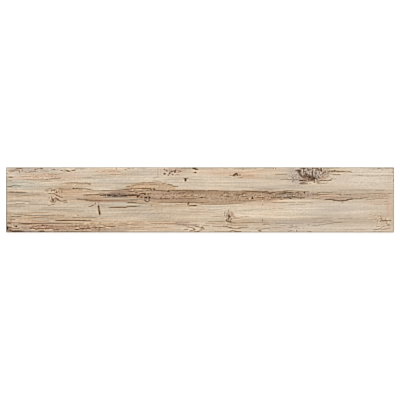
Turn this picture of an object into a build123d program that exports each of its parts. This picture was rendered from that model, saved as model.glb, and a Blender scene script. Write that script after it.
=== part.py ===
"""A porcelain floor tile: one dry-pressed, fired plank with ground edges.

The plank lies face up, as it is laid. The origin is the middle of its back, on the plane
that it rests on: +X runs along the plank, +Y across it and +Z up to the face. The face is
bounded by a ground arris. The back is keyed for the adhesive bed: rows of shallow drafted
pockets leave crossing ribs and a plain margin, and the plank rests on those.
"""

import os

from build123d import *

# Plank, in millimetres
LENGTH = 1190.0
WIDTH = 200.0
THICKNESS = 10.0  # from the feet of the ribs to the face

# Arris: the small bevel ground round the face after firing
ARRIS = 1.0

# Keyed back
KEY_MARGIN = 9.0  # plain band between the plank's edge and the outer pockets
KEY_PITCH = 26.5  # spacing of the ribs that the rows of pockets come nearest to
KEY_RIB = 4.0  # width of a rib at its foot
KEY_DEPTH = 0.7
KEY_DRAFT = 35.0  # lean of the pocket walls from upright, in degrees, for release from the press

# The one node that is written
NODE = "tile"
PARTS_FOLDER = "parts"


def pocket_row(span):
    """Count, spacing and mouth size of the pockets that fill a span, with a rib between each two."""
    count = max(1, round((span + KEY_RIB) / KEY_PITCH))
    pitch = (span + KEY_RIB) / count
    return count, pitch, pitch - KEY_RIB


def plank():
    """The plain plank, with the arris round its face."""
    blank = Box(LENGTH, WIDTH, THICKNESS, align=(Align.CENTER, Align.CENTER, Align.MIN))
    face_edges = blank.faces().sort_by(Axis.Z)[-1].edges()
    return chamfer(face_edges, length=ARRIS)


def key_pockets():
    """The hollows pressed into the back, wide at the mouth and narrower at the floor."""
    count_along, pitch_along, mouth_along = pocket_row(LENGTH - 2 * KEY_MARGIN)
    count_across, pitch_across, mouth_across = pocket_row(WIDTH - 2 * KEY_MARGIN)
    pocket = extrude(Rectangle(mouth_along, mouth_across), amount=KEY_DEPTH, taper=KEY_DRAFT)
    places = GridLocations(pitch_along, pitch_across, count_along, count_across)
    return [place * pocket for place in places]


def tile():
    """The plank with its back keyed."""
    return plank() - key_pockets()


os.makedirs(PARTS_FOLDER, exist_ok=True)
export_step(tile(), os.path.join(PARTS_FOLDER, f"{NODE}.step"))
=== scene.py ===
"""A wood-look porcelain plank: its pressed relief, printed face, fired body and plain studio.

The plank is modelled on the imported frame, in metres. The print's marks are given in millimetres
on the face: along from the left end, and across from the far long edge.
"""

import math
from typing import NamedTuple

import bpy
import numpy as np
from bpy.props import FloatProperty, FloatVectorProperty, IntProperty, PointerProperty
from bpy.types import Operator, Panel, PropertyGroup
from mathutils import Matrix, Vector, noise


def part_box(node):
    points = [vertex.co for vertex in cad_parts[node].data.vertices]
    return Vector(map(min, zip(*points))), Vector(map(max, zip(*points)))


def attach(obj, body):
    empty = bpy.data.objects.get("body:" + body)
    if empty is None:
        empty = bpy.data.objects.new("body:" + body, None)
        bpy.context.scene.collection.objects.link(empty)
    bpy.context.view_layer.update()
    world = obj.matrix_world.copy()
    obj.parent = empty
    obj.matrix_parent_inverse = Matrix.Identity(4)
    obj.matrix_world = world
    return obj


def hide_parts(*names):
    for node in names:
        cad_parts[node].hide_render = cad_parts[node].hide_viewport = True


bl_info = {
    "name": "Wood-look porcelain plank",
    "version": (1, 0, 0),
    "blender": (4, 5, 0),
    "location": "View3D > Sidebar > Plank",
    "description": "Presses, prints and fires one porcelain plank tile and sets its studio",
    "category": "Add Mesh",
}

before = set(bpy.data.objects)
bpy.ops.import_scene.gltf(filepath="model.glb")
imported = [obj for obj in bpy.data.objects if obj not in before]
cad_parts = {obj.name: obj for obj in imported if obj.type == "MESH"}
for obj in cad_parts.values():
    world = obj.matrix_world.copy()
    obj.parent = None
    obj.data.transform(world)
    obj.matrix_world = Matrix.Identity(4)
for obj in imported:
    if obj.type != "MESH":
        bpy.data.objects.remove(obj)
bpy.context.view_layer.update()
NODE = "tile"
LOW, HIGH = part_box(NODE)
PIECE = "wood_look_plank"
MILLIMETRE = 0.001
HAIR = 0.01 * MILLIMETRE  # places closer than this are the same
ORIGIN = (0.0, 0.0, 0.0)
WHITE = (1.0, 1.0, 1.0, 1.0)

# Names of the mesh data that the face material and the relief read
PRINT = "print_colour"
FLOW = "grain_flow"
RELIEF = "relief"
BAKE_MAP = "OFBake"


# The print's marks

class Streak(NamedTuple):
    """A line of the figure: ink, width and strength, and the points that it runs through."""

    ink: str
    width: float
    strength: float
    points: tuple


class Spot(NamedTuple):
    """A soft oval of one ink: strength, middle, and half its length along and across."""

    ink: str
    strength: float
    along: float
    across: float
    half_along: float
    half_across: float


class Ring(NamedTuple):
    """An oval line round a knot: ink, width and strength, middle, and half its length and breadth."""

    ink: str
    width: float
    strength: float
    along: float
    across: float
    half_along: float
    half_across: float


class Band(NamedTuple):
    """A long area between two lines, each given by points from left to right."""

    ink: str
    strength: float
    softness: float
    far_line: tuple
    near_line: tuple


class Flecks(NamedTuple):
    """Specks strewn through an oval: ink, strength, share covered, middle, and half its sizes."""

    ink: str
    strength: float
    share: float
    along: float
    across: float
    half_along: float
    half_across: float


class Grain(NamedTuple):
    """A noise stretched along the plank: its length and breadth, its strength and its seed."""

    length: float
    breadth: float
    strength: float
    seed: float


class Knot(NamedTuple):
    """A place that the grain flows round: middle, reach along and across, and how far it is pushed."""

    along: float
    across: float
    reach_along: float
    reach_across: float
    push: float


def line(ink, width, strength, *points):
    """A streak through the given points."""
    return Streak(ink, width, strength, points)


# Areas of colour that the board has under its grain
AREAS = (
    Spot("lilac", 0.75, 76, 8, 76, 9),
    Spot("milk", 0.5, 185, 7, 34, 8),
    Spot("milk", 0.4, 250, 9, 40, 10),
    Spot("blush", 0.45, 112, 28, 62, 9),
    Spot("tan", 0.34, 112, 30, 60, 8),
    Spot("rust", 0.18, 178, 28, 34, 7),
    Spot("blush", 0.5, 205, 21, 26, 8),
    Spot("sage", 0.55, 55, 48, 62, 10),
    Spot("mist", 0.6, 45, 56, 52, 9),
    Spot("milk", 0.45, 90, 51, 70, 6),
    Spot("drift", 0.55, 166, 39, 40, 6),
    Spot("sage", 0.22, 305, 46, 62, 16),
    Spot("milk", 0.45, 250, 58, 40, 8),
    Spot("milk", 0.55, 390, 40, 110, 8),
    Spot("tan", 0.32, 60, 88, 80, 11),
    Spot("drift", 0.45, 40, 86, 42, 7),
    Spot("drift", 0.45, 60, 112, 85, 13),
    Spot("brown", 0.32, 264, 98, 92, 8),
    Spot("peach", 0.36, 8, 138, 12, 16),
    Spot("milk", 0.4, 45, 138, 34, 8),
    Spot("tan", 0.45, 100, 150, 70, 13),
    Spot("tan", 0.4, 50, 168, 60, 14),
    Spot("rust", 0.14, 100, 160, 70, 12),
    Spot("tan", 0.55, 260, 176, 110, 22),
    Spot("mauve", 0.3, 40, 189, 40, 8),
    Spot("mauve", 0.34, 245, 189, 120, 9),
    Spot("rust", 0.26, 240, 190, 120, 8),
    Spot("rust", 0.22, 215, 179, 140, 7),
    Spot("rust", 0.16, 45, 188, 45, 9),
    Spot("rust", 0.14, 36, 171, 36, 8),
    Spot("tan", 0.32, 150, 155, 80, 8),
    Spot("tan", 0.5, 410, 174, 90, 9),
    Spot("tan", 0.5, 195, 80, 62, 21),
    Spot("blush", 0.25, 215, 80, 50, 12),
    Spot("tan", 0.42, 244, 75, 36, 7),
    Spot("gold", 0.25, 215, 56, 52, 9),
    Spot("peach", 0.5, 312, 14, 44, 11),
    Spot("milk", 0.42, 314, 67, 32, 6),
    Spot("tan", 0.28, 392, 52, 36, 9),
    Spot("drift", 0.4, 290, 121, 60, 9),
    Spot("drift", 0.65, 250, 149, 38, 7),
    Spot("lilac", 0.35, 430, 14, 45, 12),
    Spot("milk", 0.2, 446, 31, 45, 10),
    Spot("mist", 0.55, 352, 112, 34, 5),
    Spot("sage", 0.55, 414, 118, 28, 8),
    Spot("drift", 0.4, 380, 140, 70, 22),
    Spot("drift", 0.5, 470, 146, 50, 20),
    Spot("tan", 0.25, 462, 121, 40, 9),
    Spot("gold", 0.28, 526, 117, 36, 7),
    Spot("gold", 0.22, 560, 140, 60, 12),
    Spot("gold", 0.3, 530, 164, 90, 6),
    Spot("cream", 0.25, 580, 146, 70, 18),
    Spot("cream", 0.26, 597, 122, 40, 7),
    Spot("peach", 0.4, 480, 188, 80, 7),
    Spot("mauve", 0.44, 522, 8, 36, 9),
    Spot("milk", 0.4, 528, 52, 38, 7),
    Spot("milk", 0.35, 600, 26, 50, 12),
    Spot("mauve", 0.28, 530, 172, 50, 7),
    Spot("peach", 0.4, 630, 12, 70, 9),
    Spot("drift", 0.4, 662, 20, 34, 7),
    Spot("peach", 0.45, 750, 22, 40, 14),
    Spot("rust", 0.2, 745, 29, 30, 7),
    Spot("peach", 0.3, 695, 17, 60, 9),
    Spot("cream", 0.4, 760, 140, 120, 20),
    Spot("milk", 0.25, 700, 136, 70, 12),
    Spot("milk", 0.6, 742, 148, 40, 8),
    Spot("cream", 0.25, 700, 120, 60, 8),
    Spot("peach", 0.35, 738, 156, 36, 8),
    Spot("gold", 0.45, 715, 171, 60, 7),
    Spot("tan", 0.4, 800, 172, 44, 8),
    Spot("peach", 0.35, 800, 11, 44, 9),
    Spot("rust", 0.24, 802, 107, 32, 6),
    Spot("milk", 0.25, 780, 55, 70, 9),
    Spot("drift", 0.65, 802, 68, 40, 6.5),
    Spot("peach", 0.3, 800, 113, 60, 12),
    Spot("milk", 0.4, 880, 104, 50, 8),
    Spot("lilac", 0.8, 884, 30, 24, 28),
    Spot("drift", 0.6, 930, 164, 120, 10),
    Spot("lilac", 0.6, 880, 169, 90, 11),
    Spot("lilac", 0.45, 880, 189, 70, 11),
    Spot("milk", 0.62, 930, 132, 80, 12),
    Spot("cream", 0.42, 860, 145, 70, 10),
    Spot("milk", 0.5, 1020, 122, 160, 12),
    Spot("milk", 0.4, 950, 186, 60, 10),
    Spot("lilac", 0.25, 1000, 128, 60, 24),
    Spot("drift", 0.65, 1060, 160, 70, 12),
    Spot("brown", 0.24, 985, 12, 36, 9),
    Spot("milk", 0.8, 1115, 15, 80, 12),
    Spot("milk", 0.7, 1110, 42, 110, 24),
    Spot("milk", 0.4, 1060, 140, 90, 18),
    Spot("drift", 0.6, 1100, 72, 110, 7),
    Spot("blush", 0.45, 1135, 108, 36, 8),
    Spot("blush", 0.8, 1171, 130, 6, 52),
    Spot("gold", 0.22, 1185, 132, 5, 46),
    Spot("tan", 0.3, 1145, 160, 34, 22),
    Spot("milk", 0.55, 1105, 186, 80, 10),
)

# The brown heart of the board, and the lobe that swells above it
HEART = (
    Band("tan", 0.62, 3.0,
         ((356, 66), (372, 60), (390, 56), (402, 49), (425, 46), (455, 43), (480, 48), (500, 53), (514, 59),
          (530, 66)),
         ((356, 72), (400, 72), (440, 72), (480, 72), (530, 70))),
    Band("heart", 0.68, 3.0,
         ((225, 90), (260, 84), (300, 82), (345, 71), (390, 68), (430, 72), (456, 70), (530, 71)),
         ((225, 100), (260, 103), (300, 104), (345, 104), (390, 96), (430, 104), (456, 107), (530, 108))),
    Band("heart", 0.84, 3.2,
         ((446, 70), (530, 71), (620, 71), (667, 72), (716, 74), (750, 74), (800, 76), (860, 76), (900, 76),
          (945, 78)),
         ((446, 106), (530, 108), (592, 109), (612, 114), (682, 115), (718, 111), (764, 104), (815, 102),
          (870, 98), (945, 96))),
    Band("heart", 0.52, 5.0,
         ((890, 77), (930, 79), (995, 80), (1055, 82), (1110, 80), (1189, 79)),
         ((890, 96), (930, 96), (980, 97), (1040, 98), (1110, 96), (1189, 98))),
)

# Darker and redder places in the heart
HEART_SHADES = (
    Spot("umber", 0.2, 575, 76, 45, 5),
    Spot("umber", 0.1, 640, 78, 150, 6),
    Spot("tan", 0.38, 680, 110, 90, 7),
    Spot("brown", 0.16, 528, 88, 36, 14),
    Spot("brown", 0.14, 700, 88, 76, 9),
    Spot("umber", 0.16, 800, 78, 36, 7),
    Spot("mauve", 0.3, 802, 87, 36, 8),
    Spot("rust", 0.16, 800, 101, 34, 6),
    Spot("mauve", 0.3, 1010, 98, 36, 6),
    Spot("grey", 0.46, 866, 86, 38, 9),
    Spot("lilac", 0.45, 932, 84, 24, 8),
    Spot("mauve", 0.35, 935, 82, 45, 8),
    Spot("brown", 0.22, 1012, 78, 40, 5),
    Spot("brown", 0.22, 1010, 99, 34, 4),
    Spot("brown", 0.2, 388, 69, 34, 6),
    Spot("lilac", 0.32, 1040, 90, 80, 7),
    Spot("rust", 0.14, 794, 96, 26, 6),
    Spot("brown", 0.22, 560, 101, 66, 6),
    Spot("blush", 0.3, 480, 84, 40, 8),
    Spot("brown", 0.2, 415, 82, 60, 13),
    Spot("mauve", 0.55, 345, 76, 32, 5),
    Spot("grey", 0.55, 390, 99, 14, 6),
    Spot("rust", 0.25, 372, 104, 34, 5),
    Spot("rust", 0.24, 300, 104, 90, 5),
    Spot("heart", 0.4, 500, 107, 60, 5),
)

# Left end: bark smears, a pink patch and weathered lines
LEFT_END = (
    line("brown", 7.2, 0.55, (11, 13.4), (22, 10.8), (31, 7)),
    line("umber", 3.6, 0.6, (31, 6), (34, 4), (39, 4)),
    line("umber", 3.8, 0.72, (39, 4), (49, 4)),
    line("umber", 3.2, 0.6, (33, 9.5), (40, 10.5), (41.5, 17.5)),
    Spot("brown", 0.65, 50, 10, 2.6, 2.4),
    line("slate", 3.0, 0.45, (62, 2), (84, 1)),
    line("brown", 4.4, 0.32, (48, 13), (66, 16), (78, 14), (93, 13)),
    line("brown", 3.6, 0.6, (70, 14.5), (80, 13), (93, 12.5)),
    Spot("umber", 0.75, 89.5, 7, 2.8, 2.2),
    line("brown", 3.4, 0.66, (93, 4), (107, 4.4)),
    Spot("milk", 0.55, 134, 7, 6, 3),
    Spot("umber", 0.92, 109, 4, 3.6, 2.0),
    line("brown", 3.0, 0.6, (141, 9), (144, 6), (149, 6), (151, 9)),
    Spot("umber", 0.55, 148, 7, 2.4, 1.8),
    line("grey", 3.4, 0.45, (112, 11.5), (130, 13)),
    Spot("umber", 0.8, 170, 10, 3.6, 2.0),
    line("brown", 3.0, 0.6, (172, 10.5), (179, 12.5)),
    Spot("cream", 0.65, 190, 6.5, 6, 1.8),
    Spot("cream", 0.65, 192, 16.8, 5, 1.6),
    Spot("cream", 0.55, 207, 13.5, 5, 1.5),
    line("olive", 4.2, 0.85, (181, 9.8), (189, 10.5), (196, 13)),
    Spot("charcoal", 0.75, 191, 12, 4, 2.2),
    line("olive", 4.0, 0.95, (201, 10), (212, 9)),
    line("umber", 3.6, 0.85, (9, 31), (20, 31)),
    Spot("milk", 0.58, 20, 24.6, 14, 3.6),
    line("mist", 3.4, 0.55, (28, 24.5), (50, 25)),
    Spot("blush", 0.4, 36, 33, 20, 5),
    Flecks("rust", 0.6, 0.35, 118, 26, 45, 8),
    Flecks("cream", 0.22, 0.2, 112, 25, 45, 8),
    line("rust", 3.4, 0.5, (54, 38), (95, 38), (132, 38)),
    line("rust", 3.0, 0.4, (82, 31), (100, 31)),
    line("brown", 3.0, 0.4, (45, 29), (78, 28.5)),
    line("brown", 2.8, 0.45, (130, 22), (158, 22)),
    line("umber", 3.4, 0.5, (134, 35.5), (150, 34.5), (168, 33.5)),
    Flecks("umber", 0.5, 0.45, 118, 37, 18, 3),
    line("olive", 2.6, 0.28, (106, 43), (140, 43)),
    line("brown", 2.8, 0.3, (70, 50), (88, 50)),
    line("grey", 3.0, 0.5, (5, 41), (20, 41)),
    Spot("brown", 0.6, 3, 19, 3, 2),
    line("slate", 3.6, 0.86, (3, 59), (15, 59), (24, 56), (34, 55.5), (43, 60)),
    Flecks("mauve", 0.4, 0.3, 60, 12, 60, 10),
    Flecks("milk", 0.22, 0.18, 62, 13, 60, 10),
    line("grey", 2.8, 0.55, (43, 56), (53, 56)),
    line("cream", 3.0, 0.5, (42, 59), (54, 58.5)),
    line("cream", 3.2, 0.3, (15, 71), (40, 71.5), (62, 71.5)),
    line("brown", 5.0, 0.8, (4, 76.5), (30, 77), (62, 77.5)),
    line("umber", 3.0, 0.35, (14, 77), (48, 77)),
    line("brown", 3.0, 0.4, (54, 86.5), (82, 86)),
    line("brown", 3.0, 0.4, (78, 84), (108, 83.5)),
    line("brown", 3.0, 0.3, (6, 83), (40, 83)),
    line("brown", 3.0, 0.28, (30, 90), (50, 89)),
    line("brown", 3.4, 0.45, (4, 104), (40, 103.5), (75, 105)),
    line("brown", 3.2, 0.6, (30, 112), (45, 111), (58, 110.5)),
    line("brown", 3.0, 0.35, (8, 114), (35, 113)),
    line("brown", 3.0, 0.32, (70, 113), (131, 114.5)),
    line("milk", 3.2, 0.28, (30, 108), (60, 107)),
    line("brown", 2.6, 0.34, (110, 123), (160, 123.5), (230, 123)),
    line("brown", 2.6, 0.3, (4, 120), (60, 120)),
    line("brown", 2.6, 0.28, (100, 129), (200, 129.5)),
    line("brown", 2.6, 0.28, (150, 134), (240, 135)),
    line("sage", 3.0, 0.6, (78, 133), (131, 133)),
    line("gold", 3.2, 0.55, (78, 139.5), (131, 139.5)),
)

# The small swirl: a fan of resin over a black-hearted knot
SWIRL = (
    Spot("tan", 0.4, 178, 74, 34, 13),
    Flecks("brown", 0.52, 0.38, 155, 72, 26, 11),
    Flecks("peach", 0.5, 0.24, 165, 74, 28, 11),
    Spot("olive", 0.24, 125, 71, 5.5, 4.5),
    line("brown", 3.2, 0.6, (129, 66), (136, 65), (142, 66)),
    line("rust", 4.4, 0.45, (150, 65), (175, 66), (203, 66)),
    line("rust", 3.4, 0.5, (170, 68), (200, 70)),
    Spot("umber", 0.6, 140.5, 71, 2.6, 2.6),
    Spot("umber", 0.65, 147, 70, 2.8, 2.6),
    Spot("umber", 0.75, 155, 76, 2.6, 3.6),
    Spot("umber", 0.45, 162, 74, 2.4, 2.4),
    Spot("umber", 0.3, 168, 66, 4, 2),
    Flecks("umber", 0.4, 0.3, 163, 73, 16, 9),
    Flecks("cream", 0.4, 0.2, 158, 72, 18, 9),
    line("cream", 3.2, 0.65, (116, 77.5), (130, 77.5), (148, 76.5)),
    line("umber", 3.2, 0.55, (130, 80.5), (147, 80.5)),
    line("umber", 3.4, 0.62, (146, 80.5), (156, 86), (166, 91), (174, 93.5)),
    Spot("charcoal", 0.6, 155.5, 86.5, 2.6, 2.0),
    Spot("peach", 0.7, 148, 94, 1.8, 4.0),
    line("peach", 2.8, 0.75, (149, 89), (156, 91.6), (165, 95)),
    Spot("cream", 0.5, 136, 96, 2.2, 4),
    Spot("drift", 0.5, 160, 107.5, 7, 3),
    Spot("umber", 0.55, 132.5, 93.5, 2, 2),
    line("umber", 3.0, 0.7, (140, 90), (140, 95.5)),
    line("umber", 3.0, 0.7, (136, 104), (141, 107), (149, 107.5), (153, 103), (153, 97)),
    Spot("blush", 0.75, 149, 99.5, 1.8, 4),
    line("charcoal", 6.2, 1.0, (143.4, 98), (144.6, 103.4)),
    line("charcoal", 5.2, 0.98, (157, 97.2), (160, 99.6)),
    line("umber", 2.8, 0.75, (149, 97.5), (152, 93), (157, 96.5)),
    line("umber", 3.8, 0.62, (161, 101.4), (172, 103.6), (186, 102)),
    line("brown", 3.2, 0.75, (177, 109), (188, 107)),
    line("cream", 3.0, 0.55, (131, 113), (136, 109)),
    line("olive", 2.8, 0.5, (129, 117.5), (137, 117)),
    line("umber", 2.8, 0.45, (140, 114), (149, 114)),
    line("gold", 3.4, 0.55, (162, 54), (172, 51), (182, 48), (200, 47)),
    line("brown", 5.0, 0.52, (186, 50), (205, 48), (212, 48), (230, 50), (250, 49.5), (257, 51), (259, 54)),
    Spot("olive", 0.3, 256, 51.5, 4, 2.8),
    line("peach", 3.0, 0.4, (190, 41), (226, 40.5)),
    Spot("cream", 0.65, 253, 46.5, 4, 1.6),
    Spot("cream", 0.45, 209, 56, 3, 2),
    Spot("charcoal", 1.0, 207.5, 65.3, 3.6, 2.3),
    Spot("charcoal", 0.9, 217, 65.0, 3.0, 2.1),
    Spot("brown", 0.44, 224, 68.4, 13, 2.6),
    line("brown", 3.4, 0.8, (203, 65), (220, 65), (238, 65.6), (264, 68.6)),
    line("brown", 3.2, 0.48, (246, 67), (270, 71), (304, 70.5)),
    Spot("glint", 0.75, 219, 69.2, 2.4, 1.5),
)

# Lower left: close reddish growth lines and torn grain along the near edge
LOWER_LEFT = (
    Spot("brown", 0.28, 11, 156, 8, 20),
    line("oxblood", 4.6, 0.9, (1.0, 134), (1.0, 155), (1.0, 176)),
    Spot("oxblood", 0.42, 9, 171, 8, 4),
    Spot("sage", 0.5, 19, 150, 5, 13),
    Spot("blush", 0.45, 28, 165, 6, 7),
    line("brown", 3.2, 0.75, (24, 145), (36, 144.5), (52, 145)),
    line("umber", 3.0, 0.62, (15, 151), (30, 151.3), (46, 151)),
    line("brown", 3.2, 0.75, (56, 147), (70, 148.5), (78, 148)),
    line("slate", 3.0, 0.62, (76, 148), (100, 147.6), (132, 147.5)),
    line("milk", 3.0, 0.5, (80, 144), (131, 144)),
    line("brown", 3.0, 0.55, (128, 147.5), (152, 147.5)),
    line("brown", 3.0, 0.55, (156, 147.5), (180, 147.5)),
    line("rust", 4.2, 0.52, (78, 153), (100, 153.8), (128, 152.6)),
    line("brown", 2.6, 0.6, (86, 154), (104, 154.5)),
    line("mist", 3.4, 0.7, (80, 158), (131, 158.5)),
    line("olive", 3.0, 0.6, (13, 162), (20, 160), (28, 160.5)),
    line("rust", 4.0, 0.65, (78, 164.5), (105, 166), (131, 165.5)),
    line("blush", 3.2, 0.8, (40, 168.5), (100, 168.6), (131, 168.6)),
    line("peach", 3.0, 0.5, (130, 168.5), (180, 168), (230, 168.5)),
    line("peach", 3.0, 0.5, (150, 159), (200, 160), (250, 160)),
    line("umber", 4.2, 0.9, (152, 163.2), (190, 163), (232, 163), (260, 163.5)),
    line("umber", 3.6, 0.9, (170, 163.2), (186, 163), (198, 163)),
    line("umber", 2.8, 0.5, (196, 163.2), (230, 163)),
    line("brown", 3.0, 0.5, (12, 169), (28, 170), (44, 169)),
    line("umber", 3.6, 0.64, (40, 171.8), (60, 172.6), (120, 172), (200, 172.3)),
    line("brown", 3.2, 0.7, (190, 172.3), (236, 172.3)),
    line("umber", 3.0, 0.6, (46, 172.5), (60, 174.5), (78, 174.5)),
    line("umber", 3.2, 0.5, (58, 172.4), (85, 172.2), (114, 172)),
    Spot("lilac", 0.75, 60, 197, 60, 4.5),
    Spot("mauve", 0.75, 9, 189, 8, 9),
    Spot("bark", 0.38, 6, 196.5, 9, 5),
    line("milk", 3.0, 0.7, (2, 178.5), (14, 177)),
    line("bark", 6.0, 0.75, (0.8, 174), (0.8, 200)),
    Spot("charcoal", 1.0, 1.0, 186, 6.6, 7.2),
    line("cream", 3.4, 0.8, (20, 179), (20, 184), (30, 186), (37, 183)),
    Spot("olive", 0.42, 26.5, 180.4, 4, 2.2),
    Spot("charcoal", 1.0, 32, 181, 3.4, 3.0),
    line("umber", 4.4, 0.66, (8, 184.6), (19, 185)),
    line("umber", 3.2, 0.72, (20, 188.5), (40, 187.5)),
    line("brown", 3.0, 0.6, (48, 184), (60, 185)),
    line("brown", 3.0, 0.55, (52, 190), (66, 189)),
    Spot("blush", 0.7, 74, 181, 4, 6),
    Spot("rust", 0.4, 110, 184, 42, 9),
    Flecks("oxblood", 0.55, 0.28, 110, 184, 50, 9),
    Flecks("oxblood", 0.45, 0.26, 246, 185, 68, 10),
    Flecks("peach", 0.55, 0.24, 250, 185, 80, 10),
    Flecks("peach", 0.7, 0.2, 115, 186, 45, 9),
    line("oxblood", 3.2, 0.62, (86, 183), (94, 180.5), (103, 179)),
    line("oxblood", 4.4, 1.0, (109.4, 178.2), (114.6, 178.2)),
    line("oxblood", 3.4, 0.56, (116, 178.5), (129, 179)),
    line("olive", 3.8, 0.34, (128, 180), (146, 180)),
    line("umber", 4.0, 0.7, (72, 187), (84, 186.5), (90, 188)),
    line("umber", 3.4, 0.6, (88, 189), (96, 190.5)),
    line("oxblood", 4.4, 0.6, (94, 187.5), (128, 187.5), (146, 188.5)),
    line("rust", 5.0, 0.55, (140, 183), (165, 186), (182, 188)),
    line("cream", 3.0, 0.6, (78, 191), (88, 191)),
    line("cream", 3.0, 0.5, (84, 184), (92, 184.5)),
    Spot("blush", 0.75, 116, 183.5, 7, 2.2),
    line("peach", 3.4, 0.85, (106, 193.2), (128, 192.5)),
    line("umber", 4.2, 0.6, (146, 192), (163, 191)),
    Spot("blush", 0.95, 137, 191, 7.0, 2.6),
    Spot("glint", 0.45, 137, 191, 4.0, 1.6),
    line("charcoal", 3.2, 0.8, (12, 196), (15, 192.5), (18, 195.5)),
    line("charcoal", 5.2, 1.0, (15, 197), (34, 197), (53, 197)),
    line("charcoal", 4.8, 0.95, (20, 197), (46, 197)),
    line("bark", 6.2, 0.64, (40, 197.6), (112, 197.6)),
    line("charcoal", 5.0, 0.95, (104, 196.6), (117, 196.8)),
    line("bark", 4.6, 0.62, (106, 197.6), (150, 197.4), (262, 197.2)),
    line("mauve", 4.0, 0.6, (258, 197), (374, 197.4)),
    line("brown", 3.2, 0.6, (152, 181), (180, 181.5)),
    line("brown", 3.2, 0.75, (205, 154.5), (228, 153)),
    line("brown", 3.4, 0.75, (232, 154), (258, 153.5), (278, 154)),
    Spot("brown", 0.5, 221, 147, 4, 2),
    line("brown", 3.0, 0.5, (290, 157), (300, 156.5)),
    Spot("brown", 0.55, 289, 169.5, 4, 1.6),
    line("brown", 3.0, 0.5, (258, 172.5), (270, 172)),
    line("brown", 3.6, 0.8, (184, 181.5), (205, 181.5), (226, 180.5)),
    Flecks("umber", 0.4, 0.3, 215, 180, 14, 4),
    line("oxblood", 3.0, 0.44, (234, 181.5), (248, 181.5)),
    Spot("milk", 0.7, 219, 186.5, 5, 1.8),
    Spot("cream", 0.5, 219, 194, 6, 1.4),
    Spot("olive", 1.0, 217.5, 190.8, 7.0, 2.4),
    Spot("charcoal", 0.7, 216, 190.8, 4.0, 2.0),
    line("peach", 3.2, 0.65, (234, 184), (250, 183.5)),
    line("glint", 3.0, 0.55, (244, 191), (262, 191.3)),
    line("oxblood", 3.4, 0.72, (226, 187.5), (245, 187.5), (260, 187.5)),
    Spot("oxblood", 0.7, 238, 187.5, 3, 2),
    Spot("oxblood", 0.8, 252, 187, 3.5, 2.2),
    line("cream", 3.0, 0.85, (277, 181.3), (299, 181.3)),
    line("glint", 2.8, 0.55, (290, 188.5), (302, 188.5)),
    line("umber", 3.4, 0.65, (270, 184.5), (280, 184.5)),
    line("olive", 3.2, 0.84, (284, 185), (299, 185)),
    line("umber", 3.0, 0.32, (298, 177), (302, 180.4)),
    line("cream", 3.0, 0.7, (306, 185), (322, 185)),
    line("olive", 3.0, 0.8, (304, 180), (310, 181), (322, 181.6), (336, 180.5)),
    Spot("brown", 0.4, 285, 195, 5, 4),
)

# Far edge and the faint marks above the lobe
FAR_EDGE = (
    line("slate", 4.6, 0.36, (212, 5), (226, 5), (242, 3.5)),
    line("rust", 3.0, 0.5, (275, 13), (282, 13)),
    line("rust", 3.0, 0.5, (294, 13), (304, 12.5)),
    line("rust", 3.2, 0.45, (312, 13.5), (330, 12), (352, 13.5)),
    line("rust", 3.0, 0.4, (314, 22), (350, 22)),
    line("cream", 3.0, 0.5, (312, 18.5), (328, 18.5)),
    line("cream", 3.0, 0.5, (335, 19), (352, 19)),
    line("cream", 3.0, 0.55, (338, 25.5), (350, 25.5)),
    Spot("brown", 0.5, 338.5, 4, 2, 2.6),
    Spot("brown", 0.5, 367, 7, 3.5, 2.4),
    line("grey", 3.0, 0.35, (268, 25), (310, 25)),
    line("grey", 3.2, 0.5, (240, 32), (250, 30.5), (262, 31)),
    line("slate", 3.2, 0.55, (372, 4), (392, 3.6)),
    line("slate", 3.0, 0.45, (396, 1.5), (412, 2.5), (440, 1)),
    line("slate", 3.2, 0.45, (520, 2), (528, 3.5)),
    line("slate", 3.4, 0.7, (536, 3), (550, 2.5), (572, 3)),
    line("grey", 2.6, 0.35, (466, 3), (466, 32)),
    line("grey", 5.0, 0.48, (452, 33.4), (468, 30.6)),
    line("slate", 3.0, 0.4, (668, 4), (678, 4)),
    line("grey", 3.6, 0.5, (694, 4), (712, 4.5), (738, 4)),
    Spot("grey", 0.42, 727, 5.4, 5, 2.6),
    line("grey", 3.6, 0.55, (736, 3.6), (751, 4), (770, 3.6)),
    Spot("grey", 0.3, 764, 4, 3, 2),
    line("slate", 3.4, 0.7, (790, 2), (800, 1.4), (817, 2)),
    line("umber", 2.6, 0.7, (820, 2), (820, 5.5)),
    line("umber", 2.6, 0.6, (826, 2), (827, 5)),
    Spot("cream", 0.6, 823, 5, 1.8, 3),
    line("olive", 3.0, 0.4, (825, 22.5), (862, 22)),
    line("slate", 3.4, 0.7, (1012, 1.6), (1024, 1.6)),
    line("slate", 4.2, 0.46, (966, 2.8), (1010, 1.6)),
    line("slate", 3.6, 0.6, (1138, 5), (1145, 4), (1158, 6)),
    line("grey", 4.0, 0.35, (1110, 5), (1135, 6)),
    line("grey", 3.4, 0.4, (1160, 3), (1186, 3)),
)

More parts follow.
